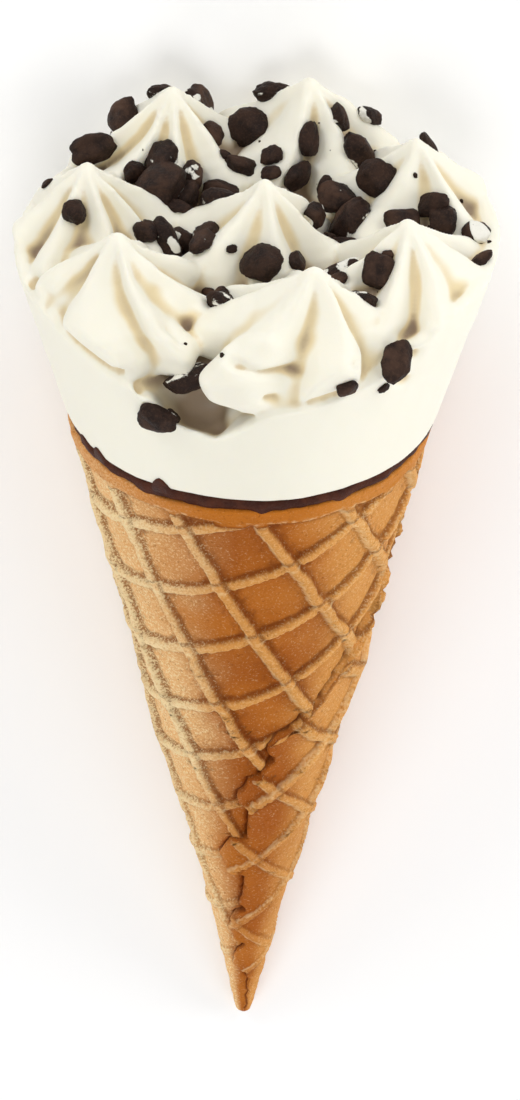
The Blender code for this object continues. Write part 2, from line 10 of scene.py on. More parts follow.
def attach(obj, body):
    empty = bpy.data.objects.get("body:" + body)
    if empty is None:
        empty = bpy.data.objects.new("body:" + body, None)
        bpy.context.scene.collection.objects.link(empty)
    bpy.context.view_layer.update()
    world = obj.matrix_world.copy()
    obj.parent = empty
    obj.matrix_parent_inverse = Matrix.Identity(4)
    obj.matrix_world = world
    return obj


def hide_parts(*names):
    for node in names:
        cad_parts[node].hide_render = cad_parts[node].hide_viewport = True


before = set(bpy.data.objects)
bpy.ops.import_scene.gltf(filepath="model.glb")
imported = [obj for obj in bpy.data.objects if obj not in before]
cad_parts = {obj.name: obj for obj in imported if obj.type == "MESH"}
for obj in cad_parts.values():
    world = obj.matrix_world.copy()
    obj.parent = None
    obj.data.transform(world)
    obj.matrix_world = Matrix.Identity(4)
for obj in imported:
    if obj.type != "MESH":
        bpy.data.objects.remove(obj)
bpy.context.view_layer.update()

bl_info = {
    "name": "Filled Waffle Cone",
    "version": (1, 0, 0),
    "blender": (4, 5, 0),
    "location": "3D View > Sidebar > Cone",
    "description": "Waffle cone with chocolate lining, piped ice cream and chocolate pieces",
    "category": "Add Mesh",
}

# Everything is shaped upright, its point at the origin, and laid on its back at the end.
# Azimuth runs anticlockwise seen from the head, -90 degrees is the side that ends on top,
# a slant is a distance from the point along the side and "over" a height over the rim.

MM = 0.001
LEAN_DEG = 12.792
POINT_PLACE = (-0.185 * MM, -77.798 * MM, -0.031 * MM)
LAID = Matrix.Translation(POINT_PLACE) @ Matrix.Rotation(math.radians(LEAN_DEG - 90.0), 4, "X")
WELD = 0.01 * MM

# Waffle
HALF_ANGLE_DEG = 12.5
HALF_ANGLE = math.radians(HALF_ANGLE_DEG)
SLOPE = math.tan(HALF_ANGLE)
TURN_RATIO = math.sin(HALF_ANGLE)
RIM_RADIUS = 25.0 * MM
RIM_HEIGHT = RIM_RADIUS / SLOPE
RIM_RISE = 0.3 * MM
RIM_ROUNDING = 0.6 * MM
RIM_BAND_HEIGHT = 2.4 * MM
RIM_BAND_FLANK = 0.5 * MM
WAFFLE_TOP = RIM_HEIGHT + RIM_RISE
TIP_ROUNDING = 1.35 * MM
TIP_MIDDLE = TIP_ROUNDING / TURN_RATIO
CELL_WALL = 1.6 * MM
INNER_FLOOR = 17.0 * MM
WRAP_STEP = 0.9 * MM
WRAP_FULL_FROM = 30.0 * MM
ROLL_LEVEL = 0.6
FULL_ROLL = 359.98 / 360.0
RIDGE_HEIGHT = 0.85 * MM
RIDGE_FULL_FROM = 40.0 * MM
RIDGE_LOWEST = 15.0 * MM
WAFFLE_ROW_STEP = 0.5 * MM
SEAM_STEPS_DEG = (0.0, 0.5, 1.1, 1.9, 2.9)

# Ridges of the pressed grid, straight lines on the flat sheet before it is rolled
STEEP_LINE_DEG = 115.3
STEEP_OFFSETS = [28.1 + 10.8 * k for k in range(7)] + [28.1 - 9.95 * k for k in range(1, 14)]
LEVEL_LINE_DEG = 22.5
LEVEL_OFFSETS = [70.1 + 11.7 * k for k in range(4)] + [70.1 - 10.3 * k for k in range(1, 6)]
LEVEL_DRIFT = 4.5
STEEP_LINES = (STEEP_LINE_DEG, STEEP_OFFSETS, 0.0)
LEVEL_LINES = (LEVEL_LINE_DEG, LEVEL_OFFSETS, LEVEL_DRIFT)

# Free edge of the rolled sheet: slant in millimetres, turn in degrees to the right of the top
EDGE_KNOTS = (
    (4.0, 24.0), (12.0, 16.0), (20.0, 4.0), (34.0, -1.0), (52.0, 3.0), (62.0, 16.0),
    (68.5, 27.0), (73.0, 42.0), (78.0, 55.0), (83.0, 68.0), (90.0, 85.0), (100.0, 102.0),
    (116.5, 124.0),
)
# Lobes of batter along that edge: slant, reach to the left and half length in millimetres
EDGE_LOBES = (
    (17.5, 1.5, 2.6), (25.5, 2.4, 3.6), (41.5, 3.2, 4.2), (56.0, 2.2, 3.2), (66.0, 2.2, 2.6),
)
# Batter also runs out where a ridge meets that edge, less of it near the rim
EDGE_RUNOUT = 0.8
EDGE_RUNOUT_WIDTH = 1.1
EDGE_RUNOUT_FADE = (100.0 * MM, 70.0 * MM)
# Fine jags of that edge: amount in millimetres, waves in radians per millimetre and phase
EDGE_JAGS = ((0.16, 2.3, 0.0), (0.112, 4.1, 1.0))
EDGE_NARROWEST = 3.0 * MM
EDGE_SHOWS = (8.0 * MM, 22.0 * MM)
# Millimetres on the upper sheet: its rounded corner and how far back it stands off
EDGE_CORNER = 0.30
EDGE_CORNER_REACH = 0.45
EDGE_LIFT_REACH = 2.2
EDGE_LIFT_EVEN = 0.6
EDGE_LIFT_WAVE = 0.4
EDGE_LIFT_WAVES = 0.55
EDGE_DIP_WIDTH = 0.55
JUST_BEHIND = -0.001
WELL_AHEAD = 0.4

# Section of a ridge: millimetres from its line where its flank starts and ends
STEEP_FLANK = (0.52, 1.12)
LEVEL_FLANK = (0.48, 1.08)
LEVEL_SHARE = 0.92
# Notch beside a crossing and groove at a ridge's foot: depth as a share, place and width
CROSSING_NOTCH = (0.45, 1.2, 0.35)
FOOT_GROOVE = (0.10, 1.3, 0.35)
# Ridges at the point and at the rim, as shares, and the slants between
RIDGE_WIDTHS = (0.66, 1.0)
RIDGE_WIDENS = (20.0 * MM, 80.0 * MM)
RIDGE_TALLNESS = (0.62, 1.20)
RIDGE_RISES = (20.0 * MM, 75.0 * MM)
RIDGE_BLEND = 4.0 * MM
CRISPNESS = (0.45, 1.0)
CRISP_WITHIN = (30.0 * MM, 70.0 * MM)

# Unevenness, each wave by its amount and size in millimetres and its seed
RIDGE_WANDER = ((0.13, 7.0, 3), (0.06, 1.7, 4))
RIDGE_UNEVEN = ((0.10, 11.0, 5),)
BAND_WAVE = ((0.25, 9.0, 6),)
SKIN_WAVES = ((0.045, 2.6, 7), (0.022, 1.0, 8), (0.10, 22.0, 9))
RIM_WAVE = ((0.12, 14.0, 12),)
LEVEL_WANDER = 0.8
BAND_SMOOTHNESS = 0.5
RIM_WAVE_DEPTH = 2.0 * MM
HOLLOW_PASSES = 5
# Millimetres from a ridge that stand for no ridge at all
FAR_AWAY = 5.0
INNER_ROWS = 12
CORNER_LIFTS_DEG = (22.5, 45.0, 67.5, 90.0)
POINT_LIFTS_DEG = (15.0, 30.0, 45.0, 60.0, 75.0, 90.0 - HALF_ANGLE_DEG)

# Where each shade of the waffle begins and is full, in millimetres or on its noise
# Many of these paint light and shade: the paler lit sides, lit and shaded ridge flanks, creases,
# the band's bright edge, the seam and the hollows
SHADES = {
    "ridge": (1.0, 0.66), "tone": (0.35, 0.65), "left": (0.10, 0.85), "right": (-0.20, -0.80),
    "painted_shadow": (0.45, 0.95), "steep_painted_shadow": (1.9, 1.1), "level_painted_shadow": (1.7, 1.05),
    "foot": (0.85, 1.10), "foot_end": (1.6, 1.15), "under": (0.0, 0.25), "under_end": (1.0, 0.4),
    "painted_highlight": (-0.35, -0.65), "painted_highlight_end": (1.2, 0.9), "worn": (0.35, 0.6),
    "rim": (-0.75, -0.35), "rim_end": (0.0, -0.25), "rim_highlight_break": (0.42, 0.65),
    "pits": (0.45, 0.34), "seam_shadow": (-0.50, -0.10), "seam_shadow_end": (0.15, 0.0),
    "hollow": (0.05, 0.28), "step": (0.0, -0.3),
}
# How much of each shows
SHARES = {
    "worn": 0.5, "painted_sidelight": 0.8, "lift_left": 0.075, "lift_right": 0.02, "lift_ridge": 0.05,
    "lift_down": 0.05, "cell_right": 0.75, "cell_left": 0.85, "ridge_left": 0.75, "ridge": 0.8,
    "band": 0.6, "foot": 0.25, "painted_shadow": 0.62, "under": 0.5, "painted_highlight": 0.30, "painted_highlight_left": 0.45,
    "rim": 0.4, "specks": 0.22, "specks_left": 0.60, "specks_right": 0.12, "specks_band": 0.6,
    "pits": 0.55, "crevice_shade": 0.85,
}
NOISE_MIDDLE = 0.5
CRUMB_SIZE = 0.9 * MM
GRAIN_SIZE = 0.34 * MM
TONE_SIZE = 14.0 * MM
# Heights of grain, ridges and crumb for the bump
WAFFLE_BUMP = (1.3, 0.3, 0.3)

# Chocolate lining
GAP = 0.3 * MM
LINING_WALL = 0.9 * MM
LINING_FLOOR = 5.0 * MM
LIP_HEIGHT = 1.5 * MM
LIP_WAVE = 0.35 * MM
LIP_LEFT_RISE = 0.7 * MM
WAFFLE_INSET = RIDGE_HEIGHT + CELL_WALL + 0.5 * WRAP_STEP
LINING_INSET = WAFFLE_INSET + GAP / math.cos(HALF_ANGLE)
LINING_INNER_INSET = LINING_INSET + LINING_WALL
CORE_INSET = LINING_INNER_INSET + GAP / math.cos(HALF_ANGLE)
LINING_FOOT = INNER_FLOOR * math.cos(HALF_ANGLE) + LINING_FLOOR
LIP_FOOT = WAFFLE_TOP + GAP
LIP_TOP = LIP_FOOT + LIP_HEIGHT
# Lumps and drips on the lip: azimuth, reach in millimetres, upwards or downwards
LIP_LUMPS = (
    (-117.5, 1.35, 1.0), (-124.0, 0.4, -1.0), (-142.0, 1.15, 1.0), (-150.0, 0.9, 1.0),
    (-136.0, 0.4, -1.0), (-86.0, 0.5, -1.0), (-80.0, 0.4, -1.0), (-60.0, 0.4, -1.0),
    (-104.0, 0.3, -1.0), (75.0, 0.5, -1.0), (140.0, 0.9, 1.0),
)
LIP_LUMP_WIDTH = 1.3 * MM
LIP_LUMP_OUT = 0.7
LIP_LUMP_LIMIT = 0.5 * MM
LIP_LUMP_UP = 1.6
# Where a lump climbs over the flank's foot, by its height and its place on the lip's section
LIP_CREEPS = (0.2 * MM, 0.9 * MM)
LIP_UPPER = (0.5, 0.6)
LIP_PROUD = 0.30 * MM
LIP_CREEP_POWER = 0.1
# Section of the lip
LIP_SUNK = 0.22 * MM
LIP_BACK = 0.15 * MM
LIP_STEP = 0.3 * MM
LIP_CROWN = 0.05 * MM
LIP_CORNER = 0.5 * MM
LIP_SECTION_DEG = 15
WALL_SHARES = (0.33, 0.67, 1.0)
# Waves of the lip: amount, turns round the rim and phase
LIP_WAVES = ((0.6, 3.0, 0.7), (0.4, 7.0, 2.1))
LIP_LEFT = (-0.6, -1.0)
LIP_SWELL = 0.14
LIP_SWELL_SIZE = 5.0 * MM
LIP_SWELL_RANGE = (-0.6, 2.0)
LIP_SWELL_SEED = 21
LIP_GRAIN = ((0.06, 1.8, 22),)
LIP_DRIPS = ((0.16, 3.5, 23),)
# Shades of the chocolate on its noise
CHOCOLATE_TONE = (0.35, 0.7)
CHOCOLATE_SCUFFS = (0.30, 0.62)
CHOCOLATE_ROUGHNESS = (0.3, 0.7, 0.42, 0.68)
CHOCOLATE_TONE_SIZE = 2.2 * MM
CHOCOLATE_GRAIN = (0.35 * MM, 1.2 * MM)
DUST_SHARE = 0.2
SMEAR_EDGE = (0.47, 0.56)
SMEAR_SIZE = 1.6 * MM
SMEAR_HEIGHT = 0.5

# Ice cream
SLEEVE_RADIUS = 24.87 * MM
SLEEVE_SLOPE = 0.276
SLEEVE_OVERLAP = 0.2 * MM
CORE_MIDDLE = 24.5 * MM
FOOT_ROUNDING = 0.6 * MM
CORE_COLUMNS = 200
CORE_ROWS = 16
CORE_SUNK = 0.15 * MM
CORE_INNER_SHARE = 0.6
FOOT_LIFTS_DEG = (0.0, 30.0, 60.0, 90.0)
# Where the flank ends: azimuth and millimetres over the rim, low in the notch in front
SHOULDER = (
    (-180.0, 26.0), (-150.0, 26.0), (-140.0, 24.5), (-125.0, 22.0), (-117.0, 20.0),
    (-110.0, 17.0), (-99.0, 15.0), (-92.0, 17.5), (-86.0, 19.8), (-75.0, 20.8),
    (-62.0, 22.5), (-50.0, 26.0), (-35.0, 29.0), (0.0, 29.0), (35.0, 28.0), (50.0, 25.5),
    (120.0, 25.5), (180.0, 26.0),
)
ROSETTE_DROP = 17.5 * MM
OUTWARD_SQUEEZE = 0.20
SQUEEZED_FROM = 20.0
# Piped star rosettes: name, azimuth, distance and height over the rim of the tip, radius, lean
# of the foot away from the axis, then its crests and hollows in turn, each by its azimuth at
# the foot and at the tip and its strength
ROSETTES = (
    ("front_left", -140.0, 22.6, 37.0, 12.4, 0.2, (
        (-112, -140, 1.15), (-66, -96, 0.9), (-38, -78, 1.15), (-22, -48, 0.8), (0, -16, 0.9),
        (22, 5, 1.0), (44, 28, 0.9), (66, 48, 1.0), (88, 68, 1.0), (110, 90, 1.0),
        (132, 114, 1.0), (152, 140, 1.0), (172, 166, 1.0), (202, 192, 0.9))),
    ("front_right", -75.0, 22.4, 37.0, 12.4, 0.0, (
        (-146, -108, 1.3), (-86, -72, 1.2), (-68, -36, 1.05), (-30, -5, 0.8), (-6, 18, 0.9),
        (16, 36, 1.0), (40, 52, 1.0), (62, 72, 1.0), (88, 92, 1.0), (112, 112, 1.0),
        (136, 132, 1.0), (152, 146, 0.9), (172, 156, 0.9), (194, 200, 0.7))),
    ("right_front", -27.0, 23.0, 37.4, 12.2, 1.8, (
        (-122, -104, 1.1), (-91, -80, 1.1), (-74, -56, 1.1), (-40, -25, 0.8), (-14, 10, 0.7),
        (12, 34, 0.9), (40, 52, 1.0), (64, 74, 1.0), (90, 96, 1.0), (112, 118, 1.0),
        (138, 142, 1.0), (160, 166, 1.0), (186, 192, 1.0), (212, 222, 1.0))),
    ("right_back", 24.0, 22.6, 37.2, 12.4, 2.4, (
        (-126, -112, 1.1), (-86, -76, 1.1), (-56, -46, 1.1), (-24, -10, 0.9), (10, 22, 1.0),
        (38, 44, 1.0), (64, 68, 1.0), (92, 94, 1.0), (120, 120, 1.0), (146, 144, 1.0),
        (172, 172, 1.0), (200, 208, 1.0))),
    ("back_right", 75.0, 23.4, 37.2, 12.8, 2.4, (
        (-122, -98, 1.1), (-96, -76, 1.0), (-70, -50, 1.0), (-40, -20, 1.0), (-8, 10, 1.0),
        (20, 34, 1.0), (46, 60, 1.0), (72, 84, 1.0), (98, 110, 1.0), (124, 134, 1.0),
        (150, 158, 1.0), (190, 196, 1.0))),
    ("back_left", 120.0, 22.8, 36.8, 12.8, 2.8, (
        (-146, -114, 1.1), (-116, -98, 0.9), (-92, -80, 0.9), (-66, -58, 1.0), (-42, -36, 1.1),
        (-12, -8, 1.0), (18, 20, 1.0), (44, 46, 1.0), (72, 74, 1.0), (98, 102, 1.0),
        (126, 132, 1.0), (152, 162, 1.0), (180, 196, 1.0), (197, 222, 1.0))),
    ("left", 173.0, 21.8, 36.8, 12.2, 1.5, (
        (-168, -176, 1.3), (-146, -148, 0.9), (-122, -124, 1.05), (-102, -94, 0.9),
        (-84, -66, 1.0), (-64, -44, 1.0), (-44, -24, 1.0), (-16, 2, 1.0), (12, 24, 1.0),
        (42, 50, 1.0), (70, 74, 1.0), (100, 100, 1.0), (128, 128, 1.0), (162, 156, 1.0))),
    ("middle", -60.0, 1.0, 36.4, 11.4, 0.0, (
        (-156, -132, 1.15), (-104, -100, 1.0), (-70, -72, 1.1), (-38, -42, 1.0),
        (-4, -12, 1.1), (22, 14, 1.0), (48, 40, 1.0), (72, 66, 1.0), (96, 90, 1.0),
        (120, 118, 1.0), (144, 144, 1.0), (176, 186, 1.0))),
)
# How far the soft tips bend right and back and stand up, in millimetres
TIP_BENDS = {
    "front_left": (-0.7, 0.5, 0.6),
    "front_right": (2.1, -0.3, 0.9),
    "right_front": (-0.2, 0.1, 0.6),
    "right_back": (1.0, 0.3, 0.3),
    "back_right": (1.2, 0.0, 1.1),
    "back_left": (0.1, 0.5, 1.3),
    "left": (-0.8, -0.7, 1.1),
    "middle": (0.9, 0.0, 1.1),
}
# Where the skirt of a rosette curls up over the notch: azimuth and share of the drop
SKIRT_CUTS = {
    "front_left": ((-95.0, -0.10), (-60.0, 0.12), (-35.0, 0.27), (15.0, 0.30), (45.0, -0.10)),
    "front_right": ((-215.0, -0.10), (-190.0, 0.24), (-150.0, 0.22), (-118.0, -0.10)),
}
SKIRT_CUT_DEPTH = 0.42
# How far the rosettes stand back from the flank where it ends: azimuth, millimetres
FLANK_STEP = (
    (-180.0, 0.7), (-70.0, 0.7), (-52.0, 0.3), (-35.0, 0.0), (150.0, 0.0), (165.0, 0.3),
    (180.0, 0.7),
)
# Pit behind the notch in the flank
PIT_AZIMUTH = -108.0
PIT_WIDTH = 13.0
PIT_DEPTH = 2.5
# Rows over the shoulder, by millimetres in from the flank, with a soft roll at its edge
SHOULDER_INSETS = (0.3, 0.8, 1.5, 3.0, 5.0, 7.0, 9.0, 12.0)
SHOULDER_ROLL = 0.5
SHOULDER_ROLL_WIDTH = 3.0
SHOULDER_BLEND = 9.0
PIT_START = 4.5
PIT_BLEND = 3.0
# Shape of a rosette from foot to tip: share of the drop, share of the radius, petal depth
ROSETTE_PROFILE = (
    (0.00, 0.84, 0.10), (0.14, 0.99, 0.20), (0.32, 1.00, 0.25), (0.47, 0.90, 0.28),
    (0.60, 0.67, 0.30), (0.75, 0.41, 0.32), (0.88, 0.20, 0.30), (0.965, 0.08, 0.14),
    (1.00, 0.00, 0.00),
)
ROSETTE_ROWS = 56
LINE_POINTS = 14
PETAL_SWELL = 0.55
PETAL_SINK = 1.05
# Shares of the drop from the foot: where the petals twist, narrow, and the tip rises and bends
TWIST_WITHIN = (0.2, 0.8)
NARROWS_WITHIN = (0.35, 0.85)
NARROWING = (0.6, 1.6)
TIP_RISES_WITHIN = (0.5, 1.0)
TIP_BENDS_WITHIN = (0.45, 1.0)
SKIRT_CUT_EDGE = 0.14
FLANK_STEP_HEIGHT = 4.5 * MM
ROSETTE_WOBBLE = 0.035
ROSETTE_WOBBLE_SIZE = 9.0 * MM
ROSETTE_SEED = 60
# Unevenness of the ice cream: amount and size in millimetres, seed, and less on steep faces
CREAM_WAVES = ((0.05, 5.0, 31), (0.02, 2.2, 32))
CREAM_TOP = (0.35, 0.75)
CREAM_EVENNESS = (0.35, 1.0)
PLUG_SIDES = 96
PLUG_REACH = 2.0 * MM
# Passes that smooth the head to measure its creases, folds and gaps, and where each shows as
# painted shade
CREASE_PASSES = 4
FOLD_PASSES = 30
GAP_PASSES = 170
FOLD_SHADE = (0.08, 0.42)
FOLD_NOISE = 0.12
CREASE_SHADE = (0.04, 0.16)
CREASE_SHARE = 0.5
GAP_SHADE = (0.62, 1.35)
GAP_SHARE = 0.8
CREAM_TONE_SIZE = 6.0 * MM
CREAM_GRAIN = (0.32 * MM, 1.6 * MM)

# Folds and pits pressed into the rosettes: depth and width in millimetres, negative where they
# bulge, then the places they run through by azimuth, distance and height over the rim
FOLDS = (
    (1.1, 0.8, ((-94, 30.7, 28.5), (-91, 31.4, 28.0), (-88, 31.1, 27.2), (-83, 29.9, 26.5),
                (-79, 28.7, 25.9))),
    (-0.6, 1.3, ((-86, 28.9, 30.4), (-90, 28.3, 30.5), (-93, 27.3, 29.5), (-96, 28.0, 28.7),
                 (-97, 30.3, 28.0))),
    (0.9, 0.8, ((-86, 30.3, 22.4), (-84, 29.9, 22.2))),
    (0.8, 0.7, ((-65, 31.8, 27.4), (-63, 31.8, 27.2))),
    (0.8, 1.4, ((-115, 25.1, 28.7), (-113, 25.4, 28.3), (-111, 25.7, 27.8))),
    (0.8, 0.7, ((-124, 31.0, 23.5), (-121, 30.8, 23.0))),
    (0.8, 0.8, ((-121, 29.3, 20.3), (-118, 29.3, 21.3))),
    (0.6, 1.0, ((-145, 24.9, 33.0), (-148, 27.0, 30.6), (-150, 29.3, 28.6), (-151, 31.2, 26.5))),
    (0.4, 1.2, ((-125, 21.2, 31.6), (-119, 20.2, 30.7), (-114, 19.8, 28.8))),
    (0.9, 1.0, ((-48, 31.9, 25.5), (-47, 31.6, 25.0))),
    (0.7, 0.9, ((-50, 30.8, 21.0), (-48, 30.4, 20.6))),
    (0.8, 1.1, ((-162, 30.7, 26.4), (-153, 30.9, 27.8))),
)
# Groove along the upper edge of the flank, in degrees, millimetres over the edge and in depth
EDGE_GROOVE_FROM = -166.0
EDGE_GROOVE_TO = -60.0
EDGE_GROOVE_STEP = 3.0
EDGE_GROOVE_RISE = 0.7
EDGE_GROOVE_DEPTH = 0.7
EDGE_GROOVE_WIDTH = 0.6

# Dark chocolate pieces: azimuth, distance and height over the rim, length, width, turn, and
# how much of the piece is smeared with ice cream
CHIPS = (
    (130, 30.0, 32.0, 4.8, 4.6, 0, 0.1), (119, 26.5, 35.0, 4.2, 3.0, 0, 0.3),
    (104, 27.0, 33.0, 5.0, 4.2, 20, 0.8), (137, 31.5, 27.5, 3.0, 2.6, 0, 0.1),
    (141, 28.0, 29.5, 6.0, 3.6, 15, 0.1), (-176, 24.5, 32.5, 3.0, 3.4, 80, 0.0),
    (134, 18.5, 31.0, 5.2, 4.4, 10, 0.5), (144, 20.0, 29.5, 3.0, 2.8, 60, 0.2),
    (141, 15.5, 27.5, 7.4, 6.4, 40, 0.1), (124, 14.5, 29.0, 2.8, 4.2, 0, 0.6),
    (131, 7.0, 29.5, 5.8, 4.0, -10, 0.1), (-172, 15.0, 29.0, 3.0, 2.8, 0, 0.4),
    (-174, 11.5, 27.5, 6.4, 4.8, 20, 0.8), (-144, 8.0, 29.5, 4.6, 3.2, 70, 0.5),
    (105, 20.5, 31.0, 3.8, 3.0, 0, 0.1), (93, 22.5, 30.5, 5.4, 5.0, 30, 0.1),
    (97, 15.0, 29.0, 4.8, 3.2, 10, 0.4), (85, 27.5, 34.0, 5.6, 3.8, 15, 0.0),
    (62, 23.0, 33.0, 4.8, 3.3, 80, 0.1), (65, 18.5, 32.0, 4.6, 3.5, 75, 0.0),
    (58, 28.5, 31.0, 3.8, 3.2, 60, 0.9), (54, 21.0, 29.0, 6.4, 5.2, 20, 0.1),
    (26, 18.0, 32.0, 5.0, 4.6, 60, 0.1), (80, 15.5, 29.5, 3.2, 2.6, 0, 0.3),
    (66, 14.5, 28.5, 4.8, 3.6, 0, 0.2), (36, 13.5, 29.0, 4.6, 4.4, 0, 0.4),
    (17, 14.0, 27.0, 6.6, 5.6, 10, 0.0), (4, 19.5, 29.5, 4.8, 3.4, 0, 0.1),
    (7, 23.5, 31.5, 4.5, 3.0, 10, 0.0), (2, 25.0, 30.0, 4.2, 3.8, 60, 0.0),
    (27, 27.0, 34.5, 4.2, 2.4, 0, 0.1), (-1, 29.5, 28.5, 3.6, 3.4, 0, 0.9),
    (-13, 31.0, 29.5, 3.2, 2.2, 0, 0.4), (-86, 9.5, 30.0, 5.6, 5.2, 0, 0.0),
    (-47, 10.0, 29.0, 3.4, 2.8, 70, 0.2), (-104, 17.0, 28.5, 4.5, 3.4, 70, 0.5),
    (-42, 15.5, 29.5, 5.2, 3.0, 0, 0.8), (-42, 22.0, 32.5, 4.5, 4.0, 80, 0.0),
    (-50, 22.5, 30.5, 3.8, 3.2, 0, 0.7), (-54, 24.5, 29.5, 3.0, 3.0, 0, 0.1),
    (-53, 31.5, 25.5, 5.6, 3.5, 80, 0.2), (-67, 31.5, 24.0, 2.7, 2.6, 0, 0.0),
    (-114, 29.5, 17.5, 4.8, 3.8, 0, 0.0), (-109, 28.0, 18.5, 2.2, 2.2, 0, 0.0),
    (-107, 26.0, 20.0, 6.4, 4.2, 0, 0.6),
)
# Fragments among them, in the same terms
FRAGMENTS = (
    (105, 16.2, 29.6, 2.2, 1.6, 0, 0.0), (80, 12.7, 29.3, 2.8, 1.8, 0, 0.2),
    (23, 8.1, 28.9, 3.6, 3.2, 30, 1.0), (171, 10.1, 25.5, 5.2, 4.2, 10, 0.7),
    (-174, 13.6, 28.9, 3.8, 2.6, 20, 0.3), (-173, 6.2, 28.2, 3.2, 3.8, 70, 0.6),
    (-106, 14.6, 27.2, 2.8, 2.6, 40, 0.2), (-121, 11.5, 25.2, 1.6, 1.4, 0, 0.2),
    (-46, 17.5, 28.8, 3.0, 2.0, 10, 0.1), (-35, 21.6, 33.4, 1.6, 1.4, 0, 0.0),
    (146, 28.4, 27.2, 3.0, 2.0, 20, 0.1), (161, 29.3, 29.0, 1.8, 1.2, 0, 0.0),
    (112, 12.2, 26.9, 4.8, 3.4, 0, 0.1), (-56, 30.7, 21.4, 1.7, 1.1, 30, 0.0),
    (-115, 7.1, 30.0, 1.4, 1.1, 0, 0.3), (131, 12.5, 27.6, 4.4, 3.8, 30, 0.1),
    (-5, 12.5, 26.6, 3.8, 2.6, 0, 0.2), (52, 14.5, 28.0, 3.4, 2.8, 40, 0.3),
    (150, 12.0, 26.8, 3.6, 3.0, 0, 0.0), (10, 10.5, 27.4, 2.2, 1.8, 0, 0.4),
)
CHIP_FLATNESS = 0.72
CHIP_SUNK = 0.28
CHIP_FULLNESS = 1.08
CHIP_DRAW = 17
CHIP_ROUNDNESS = 2.6
# Flattened sides of a piece: number, distance from its middle and how flat
CHIP_FACETS = 7
CHIP_FACET_REACH = (0.36, 0.46)
CHIP_FACET_FLATNESS = 0.75
# Dents: amount and size as shares of the piece
CHIP_DENTS = ((0.040, 0.85), (0.024, 0.28), (0.010, 0.10))
CHIP_SEED = 200
CHIP_SCUFFS = (0.2, 0.9)
CHIP_SCUFF_MOST = 0.7
# Ice cream on a piece: round its foot, and in patches
CHIP_FOOT = (-0.30, -0.05)
CHIP_FOOT_SMEAR = 0.45
CHIP_PATCH = (-0.2, 0.9)
CHIP_PATCH_SIZE = 3.2 * MM
CHIP_PATCH_SEED = 300
CHIP_PATCH_SMEAR = 0.85
# Crumbs strewn about the pieces: spread in radians and outwards, sizes and shapes
STREW_DRAW = 23
STREW_TURN = 0.12
STREW_SPREAD = 2.5 * MM
STREW_FROM = 60.0 * MM
STREW_STEEPEST = 0.2
STREW_SIZES = (0.3, 0.9)
STREW_POWER = 1.5
STREW_LARGEST = 1.1 * MM
STREW_STRETCH = (0.6, 1.3)
STREW_ROUGHNESS = 0.2

# Camera, fitted to the rim, the flanks and the outline of the photograph
CAMERA_RISE = 0.6433
CAMERA_ROLL = 0.0149
CAMERA_DISTANCE = 960.9 * MM
CAMERA_TARGET = (1.4269 * MM, 0.0, 88.1641 * MM)
CAMERA_FOCAL_PIXELS = 6973.3
IMAGE_HEIGHT = 1100
SENSOR = 36.0
NEAREST_SEEN = 0.01
FARTHEST_SEEN = 20.0
FLOOR_SIZE = 4.0

# Soft round lights: name, place in metres and power in watts
LIGHTS = (
    ("left_light", (-0.50, -0.05, 0.15), 0.12), ("left_low_light", (-0.28, -0.40, 0.25), 0.79),
    ("left_head_light", (-0.30, 0.42, 0.25), 0.86), ("right_light", (0.50, 0.05, 0.13), 0.70),
    ("right_low_light", (0.30, -0.40, 0.20), 0.54), ("right_head_light", (0.28, 0.42, 0.25), 0.77),
    ("top_light", (0.0, 0.0, 0.55), 0.77),
)
LIGHT_SIZE = 0.25
LIGHT_AIM = (0.0, 0.02, 0.03)


# Plain values over arrays

def smooth_step(low, high, value):
    """Soft rise from 0 at low to 1 at high."""
    share = np.clip((value - low) / (high - low), 0.0, 1.0)
    return share * share * (3.0 - 2.0 * share)


def knots(table, places):
    """Value at each place, along straight lines between the table's pairs."""
    xs, ys = zip(*table)
    return np.interp(places, xs, ys)


def between(ends, share):
    """Value at a share of the way between two ends."""
    return ends[0] + (ends[1] - ends[0]) * share


def bell(value, middle, width):
    """1 at the middle, fading softly to 0 on both sides."""
    return np.exp(-((value - middle) / width) ** 2)


def ripple(points, size, seed):
    """Smooth unevenness of about one unit, from waves in many directions."""
    draw = np.random.default_rng(seed)
    total = np.zeros(points.shape[:-1])
    waves = 9
    for _ in range(waves):
        along = draw.normal(size=3)
        along *= 2.0 * math.pi / (np.linalg.norm(along) * size * draw.uniform(0.7, 1.4))
        total += np.sin(points @ along + draw.uniform(0.0, 2.0 * math.pi))
    return total * math.sqrt(2.0 / waves)


def unevenness(points, waves):
    """Sum of ripples, each by its amount, its size in millimetres and its seed."""
    return sum(amount * ripple(points, size * MM, seed) for amount, size, seed in waves)


def on_rings(radius, azimuth, height):
    """Points of rows on rings about the axis."""
    radius, azimuth, height = np.broadcast_arrays(radius, azimuth, height)
    return np.stack((radius * np.cos(azimuth), radius * np.sin(azimuth), height), axis=-1)


def on_ring(radius, azimuth, height):
    return Vector((radius * math.cos(azimuth), radius * math.sin(azimuth), height))


# Meshes

def deselect_all():
    if bpy.context.object is not None and bpy.context.object.mode != "OBJECT":
        bpy.ops.object.mode_set(mode="OBJECT")
    bpy.ops.object.select_all(action="DESELECT")


def pick(item):
    deselect_all()
    item.select_set(True)
    bpy.context.view_layer.objects.active = item


def read_points(item):
    points = np.empty(len(item.data.vertices) * 3, np.float32)
    item.data.vertices.foreach_get("co", points)
    return points.reshape(-1, 3).astype(float)


def write_points(item, points):
    item.data.vertices.foreach_set("co", points.astype(np.float32).ravel())
    item.data.update()


def read_normals(item):
    normals = np.empty(len(item.data.vertices) * 3, np.float32)
    item.data.vertex_normals.foreach_get("vector", normals)
    return normals.reshape(-1, 3).astype(float)


def write_values(item, name, values):
    layer = item.data.attributes.get(name)
    if layer is None:
        layer = item.data.attributes.new(name, "FLOAT", "POINT")
    layer.data.foreach_set("value", np.asarray(values, np.float32))


